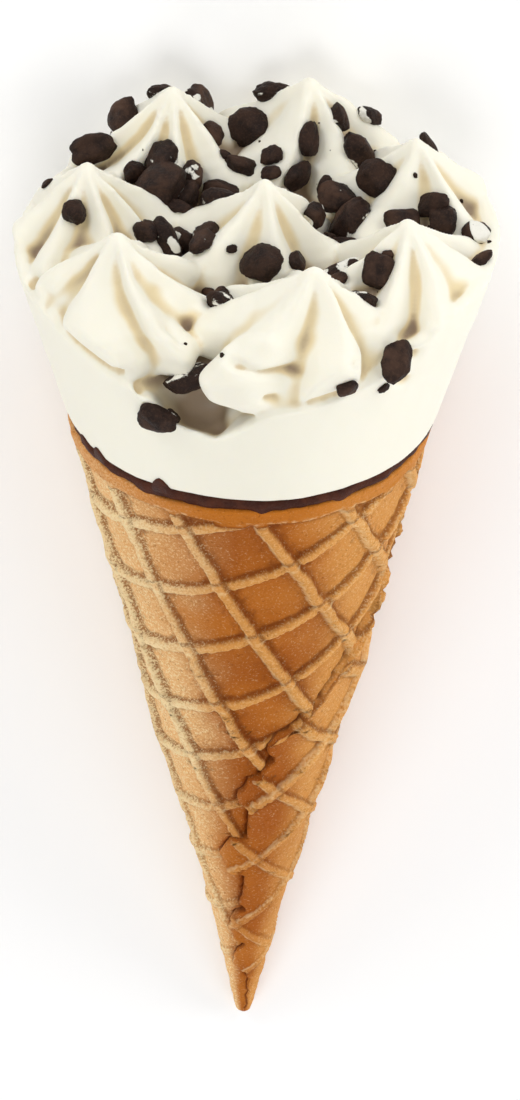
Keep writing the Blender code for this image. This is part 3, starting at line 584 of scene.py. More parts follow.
def weld(item):
    pick(item)
    bpy.ops.object.mode_set(mode="EDIT")
    bpy.ops.mesh.select_all(action="SELECT")
    bpy.ops.mesh.remove_doubles(threshold=WELD)
    bpy.ops.mesh.normals_make_consistent(inside=False)
    bpy.ops.object.mode_set(mode="OBJECT")


def bent_grid(name, points, values=None):
    """Grid bent through rows of points, whose seam and poles are then welded."""
    rows, columns = points.shape[:2]
    deselect_all()
    bpy.ops.mesh.primitive_grid_add(x_subdivisions=columns - 1, y_subdivisions=rows - 1, size=1.0)
    item = bpy.context.object
    item.name = name
    item.data.name = name
    flat = read_points(item)
    column = np.rint((flat[:, 0] + 0.5) * (columns - 1)).astype(int)
    row = np.rint((flat[:, 1] + 0.5) * (rows - 1)).astype(int)
    write_points(item, points[row, column])
    for layer, array in (values or {}).items():
        write_values(item, layer, np.broadcast_to(array, (rows, columns))[row, column])
    weld(item)
    return item


def apply_modifier(item, kind, **settings):
    """Modifier of one kind with its settings, added and applied."""
    pick(item)
    bpy.ops.object.modifier_add(type=kind)
    modifier = item.modifiers[-1]
    for key, value in settings.items():
        setattr(modifier, key, value)
    bpy.ops.object.modifier_apply(modifier=modifier.name)


def join(items, name):
    deselect_all()
    for item in items:
        item.select_set(True)
    bpy.context.view_layer.objects.active = items[0]
    bpy.ops.object.join()
    items[0].name = name
    items[0].data.name = name
    return items[0]


def finish(item, material, node=None):
    """Laid down, shaded, riding on the cone and standing for its solid."""
    item.data.transform(LAID @ item.matrix_world)
    item.matrix_world = Matrix.Identity(4)
    points = read_points(item)
    points[:, 2] = np.maximum(points[:, 2], 0.0)
    write_points(item, points)
    item.data.materials.clear()
    item.data.materials.append(material)
    item.data.shade_smooth()
    item.data.update()
    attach(item, "root")
    if node:
        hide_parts(node)


def hollows(item, passes):
    """Depth of each point under the smoothed surface, in millimetres, positive in a fold."""
    edges = np.empty(len(item.data.edges) * 2, np.int32)
    item.data.edges.foreach_get("vertices", edges)
    first, second = edges.reshape(-1, 2).T
    count = len(item.data.vertices)
    ends = np.concatenate((first, second))
    others = np.concatenate((second, first))
    number = np.maximum(np.bincount(ends, minlength=count), 1)
    points = read_points(item)
    smooth = points.copy()
    for _ in range(passes):
        smooth = np.stack([
            np.bincount(ends, weights=smooth[others, axis], minlength=count) / number
            for axis in range(3)
        ], axis=-1)
    depth = np.einsum("ij,ij->i", smooth - points, read_normals(item)) / MM
    for _ in range(2):
        depth = np.bincount(ends, weights=depth[others], minlength=count) / number
    return depth


# Shader nodes

class Wiring:
    """Small helper that adds nodes to one tree and joins them."""

    def __init__(self, tree):
        self.tree = tree

    def node(self, kind, inputs=None, **settings):
        made = self.tree.nodes.new(kind)
        for key, value in settings.items():
            setattr(made, key, value)
        for key, value in (inputs or {}).items():
            self.feed(made.inputs[key], value)
        return made

    def feed(self, socket, value):
        if isinstance(value, bpy.types.NodeSocket):
            self.tree.links.new(value, socket)
        else:
            socket.default_value = value

    def math(self, operation, first, second):
        made = self.node("ShaderNodeMath", operation=operation)
        self.feed(made.inputs[0], first)
        self.feed(made.inputs[1], second)
        return made.outputs[0]

    def times(self, first, second):
        return self.math("MULTIPLY", first, second)

    def plus(self, first, second):
        return self.math("ADD", first, second)

    def minus(self, first, second):
        return self.math("SUBTRACT", first, second)

    def most(self, first, second):
        return self.math("MAXIMUM", first, second)

    def least(self, first, second):
        return self.math("MINIMUM", first, second)

    def ramp(self, value, low, high, to_low=0.0, to_high=1.0):
        made = self.node("ShaderNodeMapRange", interpolation_type="SMOOTHSTEP")
        for socket, part in zip(made.inputs, (value, low, high, to_low, to_high)):
            self.feed(socket, part)
        return made.outputs[0]

    def mix(self, share, first, second):
        made = self.node("ShaderNodeMix", data_type="RGBA")
        self.feed(made.inputs[0], share)
        self.feed(made.inputs[6], first)
        self.feed(made.inputs[7], second)
        return made.outputs[2]

    def noise(self, where, size, detail=2.0, roughness=0.5):
        made = self.node("ShaderNodeTexNoise")
        self.feed(made.inputs["Vector"], where)
        made.inputs["Scale"].default_value = 1.0 / size
        made.inputs["Detail"].default_value = detail
        made.inputs["Roughness"].default_value = roughness
        return made.outputs[0]

    def attribute(self, name):
        return self.node("ShaderNodeAttribute", attribute_name=name).outputs["Fac"]

    def place(self):
        return self.node("ShaderNodeTexCoord").outputs["Object"]


def group(name, takes, gives):
    """Empty node group with the named sockets, and a wiring for it."""
    tree = bpy.data.node_groups.new(name, "ShaderNodeTree")
    for socket, kind, value in takes:
        made = tree.interface.new_socket(socket, in_out="INPUT", socket_type=kind)
        if value is not None:
            made.default_value = value
    for socket, kind in gives:
        tree.interface.new_socket(socket, in_out="OUTPUT", socket_type=kind)
    wiring = Wiring(tree)
    return tree, wiring, wiring.node("NodeGroupInput"), wiring.node("NodeGroupOutput")


def grain_group():
    """Fine grain of a baked or frozen surface: a height and a mask of pale specks."""
    found = bpy.data.node_groups.get("Grain")
    if found:
        return found
    tree, wiring, takes, gives = group(
        "Grain",
        (("Place", "NodeSocketVector", None), ("Fine", "NodeSocketFloat", 2500.0),
         ("Coarse", "NodeSocketFloat", 600.0), ("Lift", "NodeSocketFloat", 0.0)),
        (("Height", "NodeSocketFloat"), ("Specks", "NodeSocketFloat")),
    )
    fine = wiring.node("ShaderNodeTexNoise")
    coarse = wiring.node("ShaderNodeTexNoise")
    for node, scale in ((fine, "Fine"), (coarse, "Coarse")):
        wiring.feed(node.inputs["Vector"], takes.outputs["Place"])
        wiring.feed(node.inputs["Scale"], takes.outputs[scale])
        node.inputs["Detail"].default_value = 4.0
        node.inputs["Roughness"].default_value = 0.7
    height = wiring.math("MULTIPLY", fine.outputs[0], 0.6)
    height = wiring.math("ADD", height, wiring.math("MULTIPLY", coarse.outputs[0], 0.4))
    wiring.feed(gives.inputs["Height"], height)
    lifted = wiring.math("ADD", fine.outputs[0], takes.outputs["Lift"])
    wiring.feed(gives.inputs["Specks"], wiring.ramp(lifted, 0.51, 0.60))
    return tree


def grain(wiring, where, fine_size, coarse_size, lift=0.0):
    made = wiring.node("ShaderNodeGroup", node_tree=grain_group())
    wiring.feed(made.inputs["Place"], where)
    wiring.feed(made.inputs["Lift"], lift)
    made.inputs["Fine"].default_value = 1.0 / fine_size
    made.inputs["Coarse"].default_value = 1.0 / coarse_size
    return made.outputs["Height"], made.outputs["Specks"]


def new_material(name, roughness, specular):
    made = bpy.data.materials.new(name)
    made.use_nodes = True
    shader = made.node_tree.nodes["Principled BSDF"]
    shader.inputs["Roughness"].default_value = roughness
    shader.inputs["Specular IOR Level"].default_value = specular
    return made, Wiring(made.node_tree), shader


def bump(wiring, shader, height, strength, depth):
    made = wiring.node("ShaderNodeBump")
    made.inputs["Strength"].default_value = strength
    made.inputs["Distance"].default_value = depth
    wiring.feed(made.inputs["Height"], height)
    wiring.feed(shader.inputs["Normal"], made.outputs["Normal"])


# Waffle

def ridge_height(slant):
    """Height of the ridges, lower towards the point."""
    return RIDGE_HEIGHT * smooth_step(0.0, RIDGE_FULL_FROM, slant)


def line_offset(slant, turn, lines):
    """Place beside the nearest pressed line of one family, in millimetres, positive headwards."""
    line_deg, offsets, drift = lines
    roll = np.radians(turn) * TURN_RATIO
    line = math.radians(line_deg)
    across = (-math.sin(line), math.cos(line))
    if line_deg > 90.0:
        across = (math.sin(line), -math.cos(line))
    place = slant / MM * (np.sin(roll) * across[0] + np.cos(roll) * across[1])
    place = place - drift * turn / 360.0
    gaps = np.array([place - offset for offset in offsets])
    nearest = np.argmin(np.abs(gaps), axis=0)
    return np.take_along_axis(gaps, nearest[None], axis=0)[0]


def edge_turn(slant):
    """Turn of the sheet's ragged free edge, in degrees."""
    along = slant / MM
    turn = knots(EDGE_KNOTS, along)
    reach = np.zeros_like(slant)
    for middle, lobe, half in EDGE_LOBES:
        reach += lobe * np.sqrt(np.clip(1.0 - ((along - middle) / half) ** 2, 0.0, 1.0))
    level = np.abs(line_offset(slant, turn, LEVEL_LINES))
    steep = np.abs(line_offset(slant, turn, STEEP_LINES))
    runout = EDGE_RUNOUT * bell(np.minimum(level, steep), 0.0, EDGE_RUNOUT_WIDTH)
    reach += runout * smooth_step(*EDGE_RUNOUT_FADE, slant)
    for amount, waves, phase in EDGE_JAGS:
        reach += amount * np.sin(along * waves + phase)
    return turn - np.degrees(reach * MM / (np.maximum(slant, EDGE_NARROWEST) * TURN_RATIO))


def waffle_rows():
    """Slant, share of the way from inner to outer wall, inset and size of each row."""
    top = WAFFLE_TOP / math.cos(HALF_ANGLE)
    rows = [(INNER_FLOOR, 0.0, 0.0, 0.0)]
    for slant in np.linspace(INNER_FLOOR, top - RIM_ROUNDING, INNER_ROWS):
        rows.append((slant, 0.0, 0.0, 1.0))
    corner = np.radians(CORNER_LIFTS_DEG)
    for lift in corner:
        slant = top - RIM_ROUNDING * (1.0 - math.sin(lift))
        rows.append((slant, 0.0, RIM_ROUNDING * (1.0 - math.cos(lift)), 1.0))
    rows.append((top, 0.5, 0.0, 1.0))
    for lift in corner[::-1]:
        slant = top - RIM_ROUNDING * (1.0 - math.sin(lift))
        rows.append((slant, 1.0, -RIM_ROUNDING * (1.0 - math.cos(lift)), 1.0))
    for slant in np.arange(top - RIM_ROUNDING, TIP_ROUNDING / SLOPE, -WAFFLE_ROW_STEP):
        rows.append((slant, 1.0, 0.0, 1.0))
    return np.array(rows)


def build_waffle(settings):
    """Rolled sheet with its ridges, its band at the rim, its free edge and its point."""
    rows = waffle_rows()
    slant = rows[:, 0:1]
    mix, inset, size = rows[:, 1:2], rows[:, 2:3], rows[:, 3:4]
    near = np.array(SEAM_STEPS_DEG) / 360.0
    even = np.linspace(near[-1], 1.0 - near[-1], settings.columns)[1:-1]
    rolled = np.append(np.concatenate((near, even, 1.0 - near[::-1])), 0.0)[None, :]

    top = WAFFLE_TOP / math.cos(HALF_ANGLE)
    top_turn = edge_turn(np.array([[top]]))
    start = np.where((mix > 0.0) & (mix != 0.5), edge_turn(slant), top_turn)
    azimuth = np.radians(start + 360.0 * FULL_ROLL * rolled - 90.0)
    sheet = start - 360.0 + 360.0 * rolled
    rough = on_rings(slant * TURN_RATIO, azimuth, slant * math.cos(HALF_ANGLE))

    widths = between(RIDGE_WIDTHS, smooth_step(*RIDGE_WIDENS, slant))
    wander = unevenness(rough, RIDGE_WANDER)
    steep_side = (line_offset(slant, sheet, STEEP_LINES) + wander) / widths
    level_side = (line_offset(slant, sheet, LEVEL_LINES) + LEVEL_WANDER * wander[:, ::-1]) / widths
    steep, level = np.abs(steep_side), np.abs(level_side)

    depth, place, width = CROSSING_NOTCH
    level_ridge = (1.0 - smooth_step(*LEVEL_FLANK, level)) * LEVEL_SHARE
    level_ridge = level_ridge * (1.0 - depth * bell(steep, place, width))
    raised = np.maximum(1.0 - smooth_step(*STEEP_FLANK, steep), level_ridge)
    raised = raised * (1.0 + unevenness(rough, RIDGE_UNEVEN))
    raised = raised * smooth_step(RIDGE_LOWEST - RIDGE_BLEND, RIDGE_LOWEST + RIDGE_BLEND, slant)
    raised = raised * between(RIDGE_TALLNESS, smooth_step(*RIDGE_RISES, slant))
    depth, place, width = FOOT_GROOVE
    groove = -depth * bell(np.minimum(steep, level), place, width)
    band_low = (WAFFLE_TOP - RIM_BAND_HEIGHT) / math.cos(HALF_ANGLE)
    band_low = band_low + MM * unevenness(rough, BAND_WAVE)
    band = smooth_step(band_low - RIM_BAND_FLANK, band_low, slant)
    relief = np.maximum(raised + groove * (1.0 - raised), band)

    free = rolled * 360.0
    free = np.where(free > 180.0, free - 360.0, free)
    free = np.radians(free) * slant * TURN_RATIO / MM
    free[:, -2] = JUST_BEHIND
    ahead, behind = np.clip(free, 0.0, None), np.clip(-free, 0.0, None)
    corner = EDGE_CORNER * np.clip(1.0 - ahead / EDGE_CORNER_REACH, 0.0, 1.0) ** 2
    lifted = settings.edge_lift / MM * np.exp(-ahead / EDGE_LIFT_REACH)
    lifted = lifted * (EDGE_LIFT_EVEN + EDGE_LIFT_WAVE * np.sin(slant / MM * EDGE_LIFT_WAVES))
    dip = settings.edge_dip / MM * bell(behind, 0.0, EDGE_DIP_WIDTH)
    seam = np.where(free >= 0.0, lifted - corner, -dip) * smooth_step(*EDGE_SHOWS, slant)
    seam = seam * (1.0 - band)

    skin = unevenness(rough, SKIN_WAVES) * (1.0 - BAND_SMOOTHNESS * band)
    step = WRAP_STEP * smooth_step(0.0, WRAP_FULL_FROM, slant)
    outer = slant * TURN_RATIO - ridge_height(slant) + step * (ROLL_LEVEL - rolled)
    outer = outer + relief * np.maximum(ridge_height(slant), band * RIDGE_HEIGHT)
    outer = outer + (seam + skin) * MM
    inner = slant * TURN_RATIO - WAFFLE_INSET
    radius = (inner + (outer - inner) * mix + inset) * size
    points = on_rings(radius, azimuth, slant * math.cos(HALF_ANGLE))
    near_rim = smooth_step(-RIM_WAVE_DEPTH, 0.0, slant - top)
    points[:, :, 2] += MM * unevenness(rough, RIM_WAVE) * near_rim

    tip_turn = edge_turn(np.array([TIP_ROUNDING / SLOPE]))[0] + 360.0 * rolled
    tip_azimuth = np.radians(tip_turn - 90.0)
    narrowed = radius[-1:] / (TIP_ROUNDING * math.cos(HALF_ANGLE))
    tip_rows = []
    for lift_deg in POINT_LIFTS_DEG:
        lift = math.radians(HALF_ANGLE_DEG + lift_deg)
        reach = TIP_ROUNDING * max(0.0, math.cos(lift)) * narrowed
        tip_rows.append(on_rings(reach, tip_azimuth, TIP_MIDDLE - TIP_ROUNDING * math.sin(lift)))

    free[:, 0] = free[:, -1] = WELL_AHEAD
    values = {
        "steep": (np.where(band > 0.5, FAR_AWAY, steep), FAR_AWAY),
        "level": (np.where(band > 0.5, FAR_AWAY, level), FAR_AWAY),
        "band": (band, 0.0),
        "below": ((band_low - 0.5 * RIM_BAND_FLANK - slant) / MM, FAR_AWAY),
        "free": (free, 4.0 * FAR_AWAY),
        "steep_side": (steep_side, FAR_AWAY),
        "level_side": (level_side, FAR_AWAY),
        # Painted sidelight: 1 on the left side and -1 on the right, the sides facing the lights,
        # where the material pales the colour
        "painted_sidelight": (-np.cos(azimuth), -np.cos(tip_azimuth)),
        "crisp": (between(CRISPNESS, smooth_step(*CRISP_WITHIN, slant)), 0.0),
    }
    on_body, on_tip = np.ones(steep.shape), np.ones((len(tip_rows), rolled.shape[1]))
    item = bent_grid("rolled_waffle", np.concatenate((points, *tip_rows)), {
        name: np.concatenate((body * on_body, tip * on_tip)) for name, (body, tip) in values.items()
    })
    # Depth in the hollows, which the material turns into painted shade
    write_values(item, "hollow", hollows(item, HOLLOW_PASSES))
    return item


def waffle_material(settings):
    made, wiring, shader = new_material("baked_waffle", 0.6, 0.06)
    times, plus, minus, most = wiring.times, wiring.plus, wiring.minus, wiring.most

    def shade(value, name):
        return wiring.ramp(value, *SHADES[name])

    def part(value, name):
        return times(value, SHARES[name])

    def strip(value, name, end, reach):
        return times(shade(value, name), shade(reach, end))

    cells, toast, side, pale, specks_and_highlights, golden, brown = ((*colour, 1.0) for colour in (
        settings.cell_colour, settings.toast_colour, settings.sidelight_colour, settings.ridge_and_sidelight_colour,
        settings.speck_and_highlight_colour, settings.band_colour, settings.deep_colour,
    ))
    steep, level, steep_side, level_side = (
        wiring.attribute(name) for name in ("steep", "level", "steep_side", "level_side")
    )
    band, below, free, painted_sidelight, crisp, hollow = (
        wiring.attribute(name) for name in ("band", "below", "free", "painted_sidelight", "crisp", "hollow")
    )
    where = wiring.place()
    crumb = wiring.noise(where, CRUMB_SIZE, 3.0, 0.6)
    tone = wiring.noise(where, TONE_SIZE)
    nearest = wiring.least(steep, level)
    worn = plus(nearest, part(minus(crumb, NOISE_MIDDLE), "worn"))
    ridge = times(shade(worn, "ridge"), crisp)
    # Painted sidelight: left and right say how much paler colour a point gets for the light falling
    # on it, the left most
    painted_sidelight = plus(painted_sidelight, part(minus(tone, NOISE_MIDDLE), "painted_sidelight"))
    left, right = shade(painted_sidelight, "left"), shade(painted_sidelight, "right")
    # Painted highlight: more pale specks on the sides facing the lights, the left most
    lift = plus(part(left, "lift_left"), part(right, "lift_right"))
    lift = minus(plus(lift, part(ridge, "lift_ridge")), SHARES["lift_down"])
    height, specks = grain(wiring, where, GRAIN_SIZE, CRUMB_SIZE, lift)

    cell = wiring.mix(shade(tone, "tone"), cells, toast)
    # Painted sidelight: paler cells on the right and the left, sandier ridges on the left
    cell = wiring.mix(part(right, "cell_right"), cell, pale)
    cell = wiring.mix(part(left, "cell_left"), cell, side)
    raised = wiring.mix(part(left, "ridge_left"), pale, specks_and_highlights)
    colour = wiring.mix(part(ridge, "ridge"), cell, raised)
    colour = wiring.mix(part(band, "band"), colour, golden)

    # Painted shade: darker brown on the shaded flank of each ridge and in the crease at its foot
    painted_shadow = most(
        strip(steep_side, "painted_shadow", "steep_painted_shadow", steep), strip(level_side, "painted_shadow", "level_painted_shadow", level),
    )
    foot = strip(nearest, "foot", "foot_end", nearest)
    foot = times(most(part(foot, "foot"), part(painted_shadow, "painted_shadow")), crisp)
    # Painted shadow: darker brown in the crease just under the rim band
    under = strip(below, "under", "under_end", below)
    colour = wiring.mix(most(foot, part(under, "under")), colour, brown)

    # Painted highlight: sandy colour on the lit flank of each ridge, more on the left, broken up by
    # the crumb
    painted_highlight = most(
        strip(steep_side, "painted_highlight", "painted_highlight_end", steep),
        strip(level_side, "painted_highlight", "painted_highlight_end", level),
    )
    painted_highlight = times(painted_highlight, shade(crumb, "worn"))
    painted_highlight = times(painted_highlight, plus(SHARES["painted_highlight"], part(left, "painted_highlight_left")))
    colour = wiring.mix(painted_highlight, colour, specks_and_highlights)
    # Painted highlight: a bright line along the lower edge of the rim band, broken up by the crumb
    rim = times(strip(below, "rim", "rim_end", below), shade(crumb, "rim_highlight_break"))
    colour = wiring.mix(part(rim, "rim"), colour, specks_and_highlights)

    # Pale grain specks everywhere, and as painted highlight more of them on the sides facing the
    # lights
    shown = plus(SHARES["specks"], part(left, "specks_left"))
    shown = plus(shown, part(right, "specks_right"))
    shown = times(shown, minus(1.0, part(band, "specks_band")))
    colour = wiring.mix(times(specks, shown), colour, specks_and_highlights)
    colour = wiring.mix(part(shade(height, "pits"), "pits"), colour, brown)
    # Painted shade: brown in the hollows, and painted shadow in the crevice beside the sheet's free
    # edge
    crevice_shade = most(shade(hollow, "hollow"), strip(free, "seam_shadow", "seam_shadow_end", free))
    colour = wiring.mix(part(crevice_shade, "crevice_shade"), colour, brown)
    wiring.feed(shader.inputs["Base Color"], colour)
    grains, steps, crumbs = WAFFLE_BUMP
    total = plus(times(height, grains), times(most(ridge, shade(below, "step")), steps))
    bump(wiring, shader, plus(total, times(crumb, crumbs)), 0.9, 0.45 * MM)
    return made


# Chocolate lining

def lip_wave(azimuth):
    """Height of the lip's slow waves, higher on the left."""
    wave = sum(amount * np.sin(turns * azimuth + phase) for amount, turns, phase in LIP_WAVES)
    return LIP_WAVE * wave + LIP_LEFT_RISE * smooth_step(*LIP_LEFT, np.cos(azimuth))


def build_lining(settings):
    """Thin cup in the waffle, turned out over its rim as an uneven lip with lumps."""
    azimuth = np.linspace(0.0, 2.0 * math.pi, settings.columns + 1)
    wave = lip_wave(azimuth)
    foot = LIP_FOOT - LIP_SUNK
    floor_top = LINING_FOOT + LINING_WALL
    rows = [
        (0.0, floor_top, 0.0, 0.0),
        (floor_top * SLOPE - LINING_INNER_INSET, floor_top, 0.0, 0.0),
    ]
    for share in WALL_SHARES:
        height = floor_top + (foot - floor_top) * share
        rows.append((height * SLOPE - LINING_INNER_INSET, height, 0.0, 0.0))
    lip_middle = 0.5 * (foot + LIP_TOP)
    half = 0.5 * (LIP_TOP - foot)
    inner = RIM_RADIUS - LINING_INNER_INSET
    outer = RIM_RADIUS - LIP_BACK
    rows.append((inner + LIP_STEP, LIP_TOP, 1.0, 0.0))
    rows.append((0.5 * (inner + outer), LIP_TOP + LIP_CROWN, 1.0, 0.0))
    for lift_deg in range(90, -91, -LIP_SECTION_DEG):
        lift = math.radians(lift_deg)
        rows.append((
            outer - LIP_CORNER * (1.0 - math.cos(lift)), lip_middle + half * math.sin(lift),
            0.5 + 0.5 * math.sin(lift), math.cos(lift),
        ))
    rows.append((foot * SLOPE - LINING_INSET, foot, 0.0, 0.0))
    rows.append((LINING_FOOT * SLOPE - LINING_INSET, LINING_FOOT, 0.0, 0.0))
    rows.append((0.0, LINING_FOOT, 0.0, 0.0))
    rows = np.array(rows)
    radius, height = rows[:, 0:1], rows[:, 1:2]
    waved, bulge = rows[:, 2:3], rows[:, 3:4]
    place = on_rings(RIM_RADIUS, azimuth, RIM_HEIGHT)[None, :, :] + np.zeros((len(rows), 1, 1))
    swell = np.clip(ripple(place, LIP_SWELL_SIZE, LIP_SWELL_SEED), *LIP_SWELL_RANGE)
    lump = MM * (LIP_SWELL * swell + unevenness(place, LIP_GRAIN))
    rise = MM * unevenness(place, LIP_DRIPS)
    climb = np.zeros_like(azimuth)
    for at_deg, reach, way in LIP_LUMPS:
        gap = np.radians(((np.degrees(azimuth) - at_deg + 180.0) % 360.0) - 180.0)
        swell = reach * MM * bell(gap * RIM_RADIUS, 0.0, LIP_LUMP_WIDTH)
        lump = lump + LIP_LUMP_OUT * np.minimum(swell, LIP_LUMP_LIMIT)
        if way > 0.0:
            climb = np.maximum(climb, LIP_LUMP_UP * swell)
        else:
            rise = rise - swell
    upper = smooth_step(0.5, 1.0, waved) * climb
    lower = smooth_step(0.5, 0.0, waved) * np.clip(rise, None, 0.0) * (bulge > 0.0)
    height = height + wave * waved + upper + lower
    radius = radius + lump * bulge
    over_flank = sleeve_radius(height - RIM_HEIGHT) + LIP_PROUD - radius
    crept = smooth_step(*LIP_CREEPS, climb) * smooth_step(*LIP_UPPER, waved)
    crept = crept * np.clip(bulge, 0.0, 1.0) ** LIP_CREEP_POWER
    radius = radius + np.clip(over_flank, 0.0, None) * crept
    return bent_grid("chocolate_lip", on_rings(radius, azimuth, height))


def chocolate_material(name, settings, smeared, colours=None):
    made, wiring, shader = new_material(name, 0.5, 0.12)
    dark, brown = colours or (settings.dark_colour, settings.brown_colour)
    where = wiring.place()
    height, specks = grain(wiring, where, *CHOCOLATE_GRAIN)
    tone = wiring.noise(where, CHOCOLATE_TONE_SIZE)
    dust = (*settings.dust_colour, 1.0)
    colour = wiring.mix(wiring.ramp(tone, *CHOCOLATE_TONE), (*dark, 1.0), (*brown, 1.0))
    colour = wiring.mix(wiring.times(specks, DUST_SHARE), colour, dust)
    if smeared:
        scuffed = wiring.times(wiring.attribute("scuffed"), wiring.ramp(tone, *CHOCOLATE_SCUFFS))
        colour = wiring.mix(scuffed, colour, dust)
        blotch = wiring.noise(where, SMEAR_SIZE, 3.0, 0.55)
        smear = wiring.plus(wiring.attribute("smear"), wiring.minus(blotch, NOISE_MIDDLE))
        smear = wiring.ramp(smear, *SMEAR_EDGE)
        colour = wiring.mix(smear, colour, (*settings.smear_colour, 1.0))
        height = wiring.plus(height, wiring.times(smear, SMEAR_HEIGHT))
    wiring.feed(shader.inputs["Base Color"], colour)
    wiring.feed(shader.inputs["Roughness"], wiring.ramp(tone, *CHOCOLATE_ROUGHNESS))
    bump(wiring, shader, height, 0.8, 0.35 * MM)
    return made


# Ice cream

def sleeve_radius(over):
    """Radius of the moulded flank."""
    return SLEEVE_RADIUS + SLEEVE_SLOPE * over


def build_core():
    """Head without its piping, from its foot on the lip to the uneven shoulder."""
    azimuth = np.linspace(-math.pi, math.pi, CORE_COLUMNS + 1)
    foot = LIP_TOP + GAP - CORE_SUNK + lip_wave(azimuth) - RIM_HEIGHT
    end = knots(SHOULDER, np.degrees(azimuth)) * MM
    rows = [on_rings(0.0, azimuth, np.mean(foot) + RIM_HEIGHT)]
    rows.append(on_rings(sleeve_radius(foot) * CORE_INNER_SHARE, azimuth, foot + RIM_HEIGHT))
    for lift_deg in FOOT_LIFTS_DEG:
        lift = math.radians(lift_deg)
        over = foot + FOOT_ROUNDING * (1.0 - math.cos(lift))
        inset = FOOT_ROUNDING * (1.0 - math.sin(lift))
        rows.append(on_rings(sleeve_radius(over) - inset, azimuth, over + RIM_HEIGHT))
    start = foot + FOOT_ROUNDING
    for share in np.linspace(0.1, 1.0, CORE_ROWS):
        over = start + (end - start) * share
        rows.append(on_rings(sleeve_radius(over), azimuth, over + RIM_HEIGHT))
    pit = bell(np.degrees(azimuth), PIT_AZIMUTH, PIT_WIDTH)
    for inset in SHOULDER_INSETS:
        blend = smooth_step(PIT_START * pit, SHOULDER_BLEND + PIT_BLEND * pit, inset)
        roll = math.sin(math.pi * min(1.0, inset / SHOULDER_ROLL_WIDTH))
        rise = SHOULDER_ROLL * roll * (1.0 - pit) * MM
        dip = PIT_DEPTH * math.sin(math.pi * min(1.0, inset / SHOULDER_BLEND)) * pit * MM
        over = end + rise - dip + (CORE_MIDDLE - end) * blend
        rows.append(on_rings(sleeve_radius(end) - inset * MM, azimuth, over + RIM_HEIGHT))
    rows.append(on_rings(0.0, azimuth, CORE_MIDDLE + RIM_HEIGHT))
    return bent_grid("core", np.array(rows))


def build_rosette(spot, number):
    """Piped star: crests that run from the skirt up to a soft point, with hollows between."""
    name, azimuth_deg, distance, tip, radius, lean, lines = spot
    azimuth = math.radians(azimuth_deg)
    middle = np.array(on_ring(distance * MM, azimuth, 0.0))
    outward = np.array(on_ring(1.0, azimuth, 0.0))
    squeeze = OUTWARD_SQUEEZE * min(1.0, distance / SQUEEZED_FROM)
    tip_bend = np.array(TIP_BENDS[name]) * MM
    foot = np.array([line[0] for line in lines] + [lines[0][0] + 360.0])
    head = np.array([line[1] for line in lines] + [lines[0][1] + 360.0])
    reach_of = np.array([
        (line[2] * PETAL_SWELL if k % 2 == 0 else -line[2] * PETAL_SINK)
        for k, line in enumerate(lines)
    ])
    reach_of = np.append(reach_of, reach_of[0])
    across = np.linspace(0.0, 1.0, LINE_POINTS, endpoint=False)
    share_of, width_of, depth_of = np.array(ROSETTE_PROFILE).T
    turns = np.zeros(len(lines) * LINE_POINTS + 1)
    floor = on_rings(0.0, turns, RIM_HEIGHT + tip * MM - ROSETTE_DROP)
    rows = [floor + middle + outward * lean * MM]
    for share in np.linspace(0.0, 1.0, ROSETTE_ROWS):
        risen = tip_bend[2] * smooth_step(*TIP_RISES_WITHIN, share)
        over = tip * MM - ROSETTE_DROP * (1.0 - share) + risen
        width = np.interp(share, share_of, width_of)
        depth = np.interp(share, share_of, depth_of)
        place = foot + (head - foot) * smooth_step(*TWIST_WITHIN, share)
        power = 1.0 / between(NARROWING, smooth_step(*NARROWS_WITHIN, share))
        angle, swell = [], []
        for k in range(len(lines)):
            blend = 0.5 - 0.5 * np.cos(math.pi * across)
            blend = blend ** power if k % 2 == 0 else 1.0 - (1.0 - blend) ** power
            angle.append(place[k] + (place[k + 1] - place[k]) * across)
            swell.append(reach_of[k] + (reach_of[k + 1] - reach_of[k]) * blend)
        angle = np.append(np.concatenate(angle), place[-1])
        swell = np.append(np.concatenate(swell), swell[0][0])
        reach = radius * MM * width * (1.0 + depth * swell)
        cuts = SKIRT_CUTS.get(name)
        if cuts:
            turned = (angle - cuts[0][0]) % 360.0 + cuts[0][0]
            depth_under = smooth_step(0.0, SKIRT_CUT_EDGE, knots(cuts, turned) - share)
            reach = reach * (1.0 - SKIRT_CUT_DEPTH * depth_under)
        offset = on_rings(reach, np.radians(angle), 0.0)
        at = offset + middle + np.array((0.0, 0.0, over))
        wobble = ripple(at, ROSETTE_WOBBLE_SIZE, ROSETTE_SEED + number)
        offset *= 1.0 + ROSETTE_WOBBLE * wobble[:, None]
        offset[:, :2] += tip_bend[:2] * smooth_step(*TIP_BENDS_WITHIN, share)
        past = np.clip(offset @ outward, 0.0, None)
        leant = outward * (lean * MM * (1.0 - share))
        point = middle + offset + leant - past[:, None] * squeeze * outward
        around = np.degrees(np.arctan2(point[:, 1], point[:, 0]))
        flank_end = knots(SHOULDER, around) * MM
        step = smooth_step(flank_end + FLANK_STEP_HEIGHT, flank_end, over)
        step = knots(FLANK_STEP, around) * MM * step
        limit = sleeve_radius(over) + SLEEVE_OVERLAP - step
        length = np.maximum(np.hypot(point[:, 0], point[:, 1]), MM)
        point[:, :2] *= np.minimum(1.0, limit / length)[:, None]
        point[:, 2] = over + RIM_HEIGHT
        rows.append(point)
    return bent_grid("rosette_" + name, np.array(rows))


def near_line(points, line):
    """Distance of each point to a broken line."""
    nearest = np.full(len(points), 1.0)
    for first, second in zip(line[:-1], line[1:]):
        along = second - first
        share = np.clip((points - first) @ along / max(along @ along, 1e-12), 0.0, 1.0)
        gap = points - first - share[:, None] * along
        nearest = np.minimum(nearest, np.sqrt((gap * gap).sum(axis=1)))
    return nearest


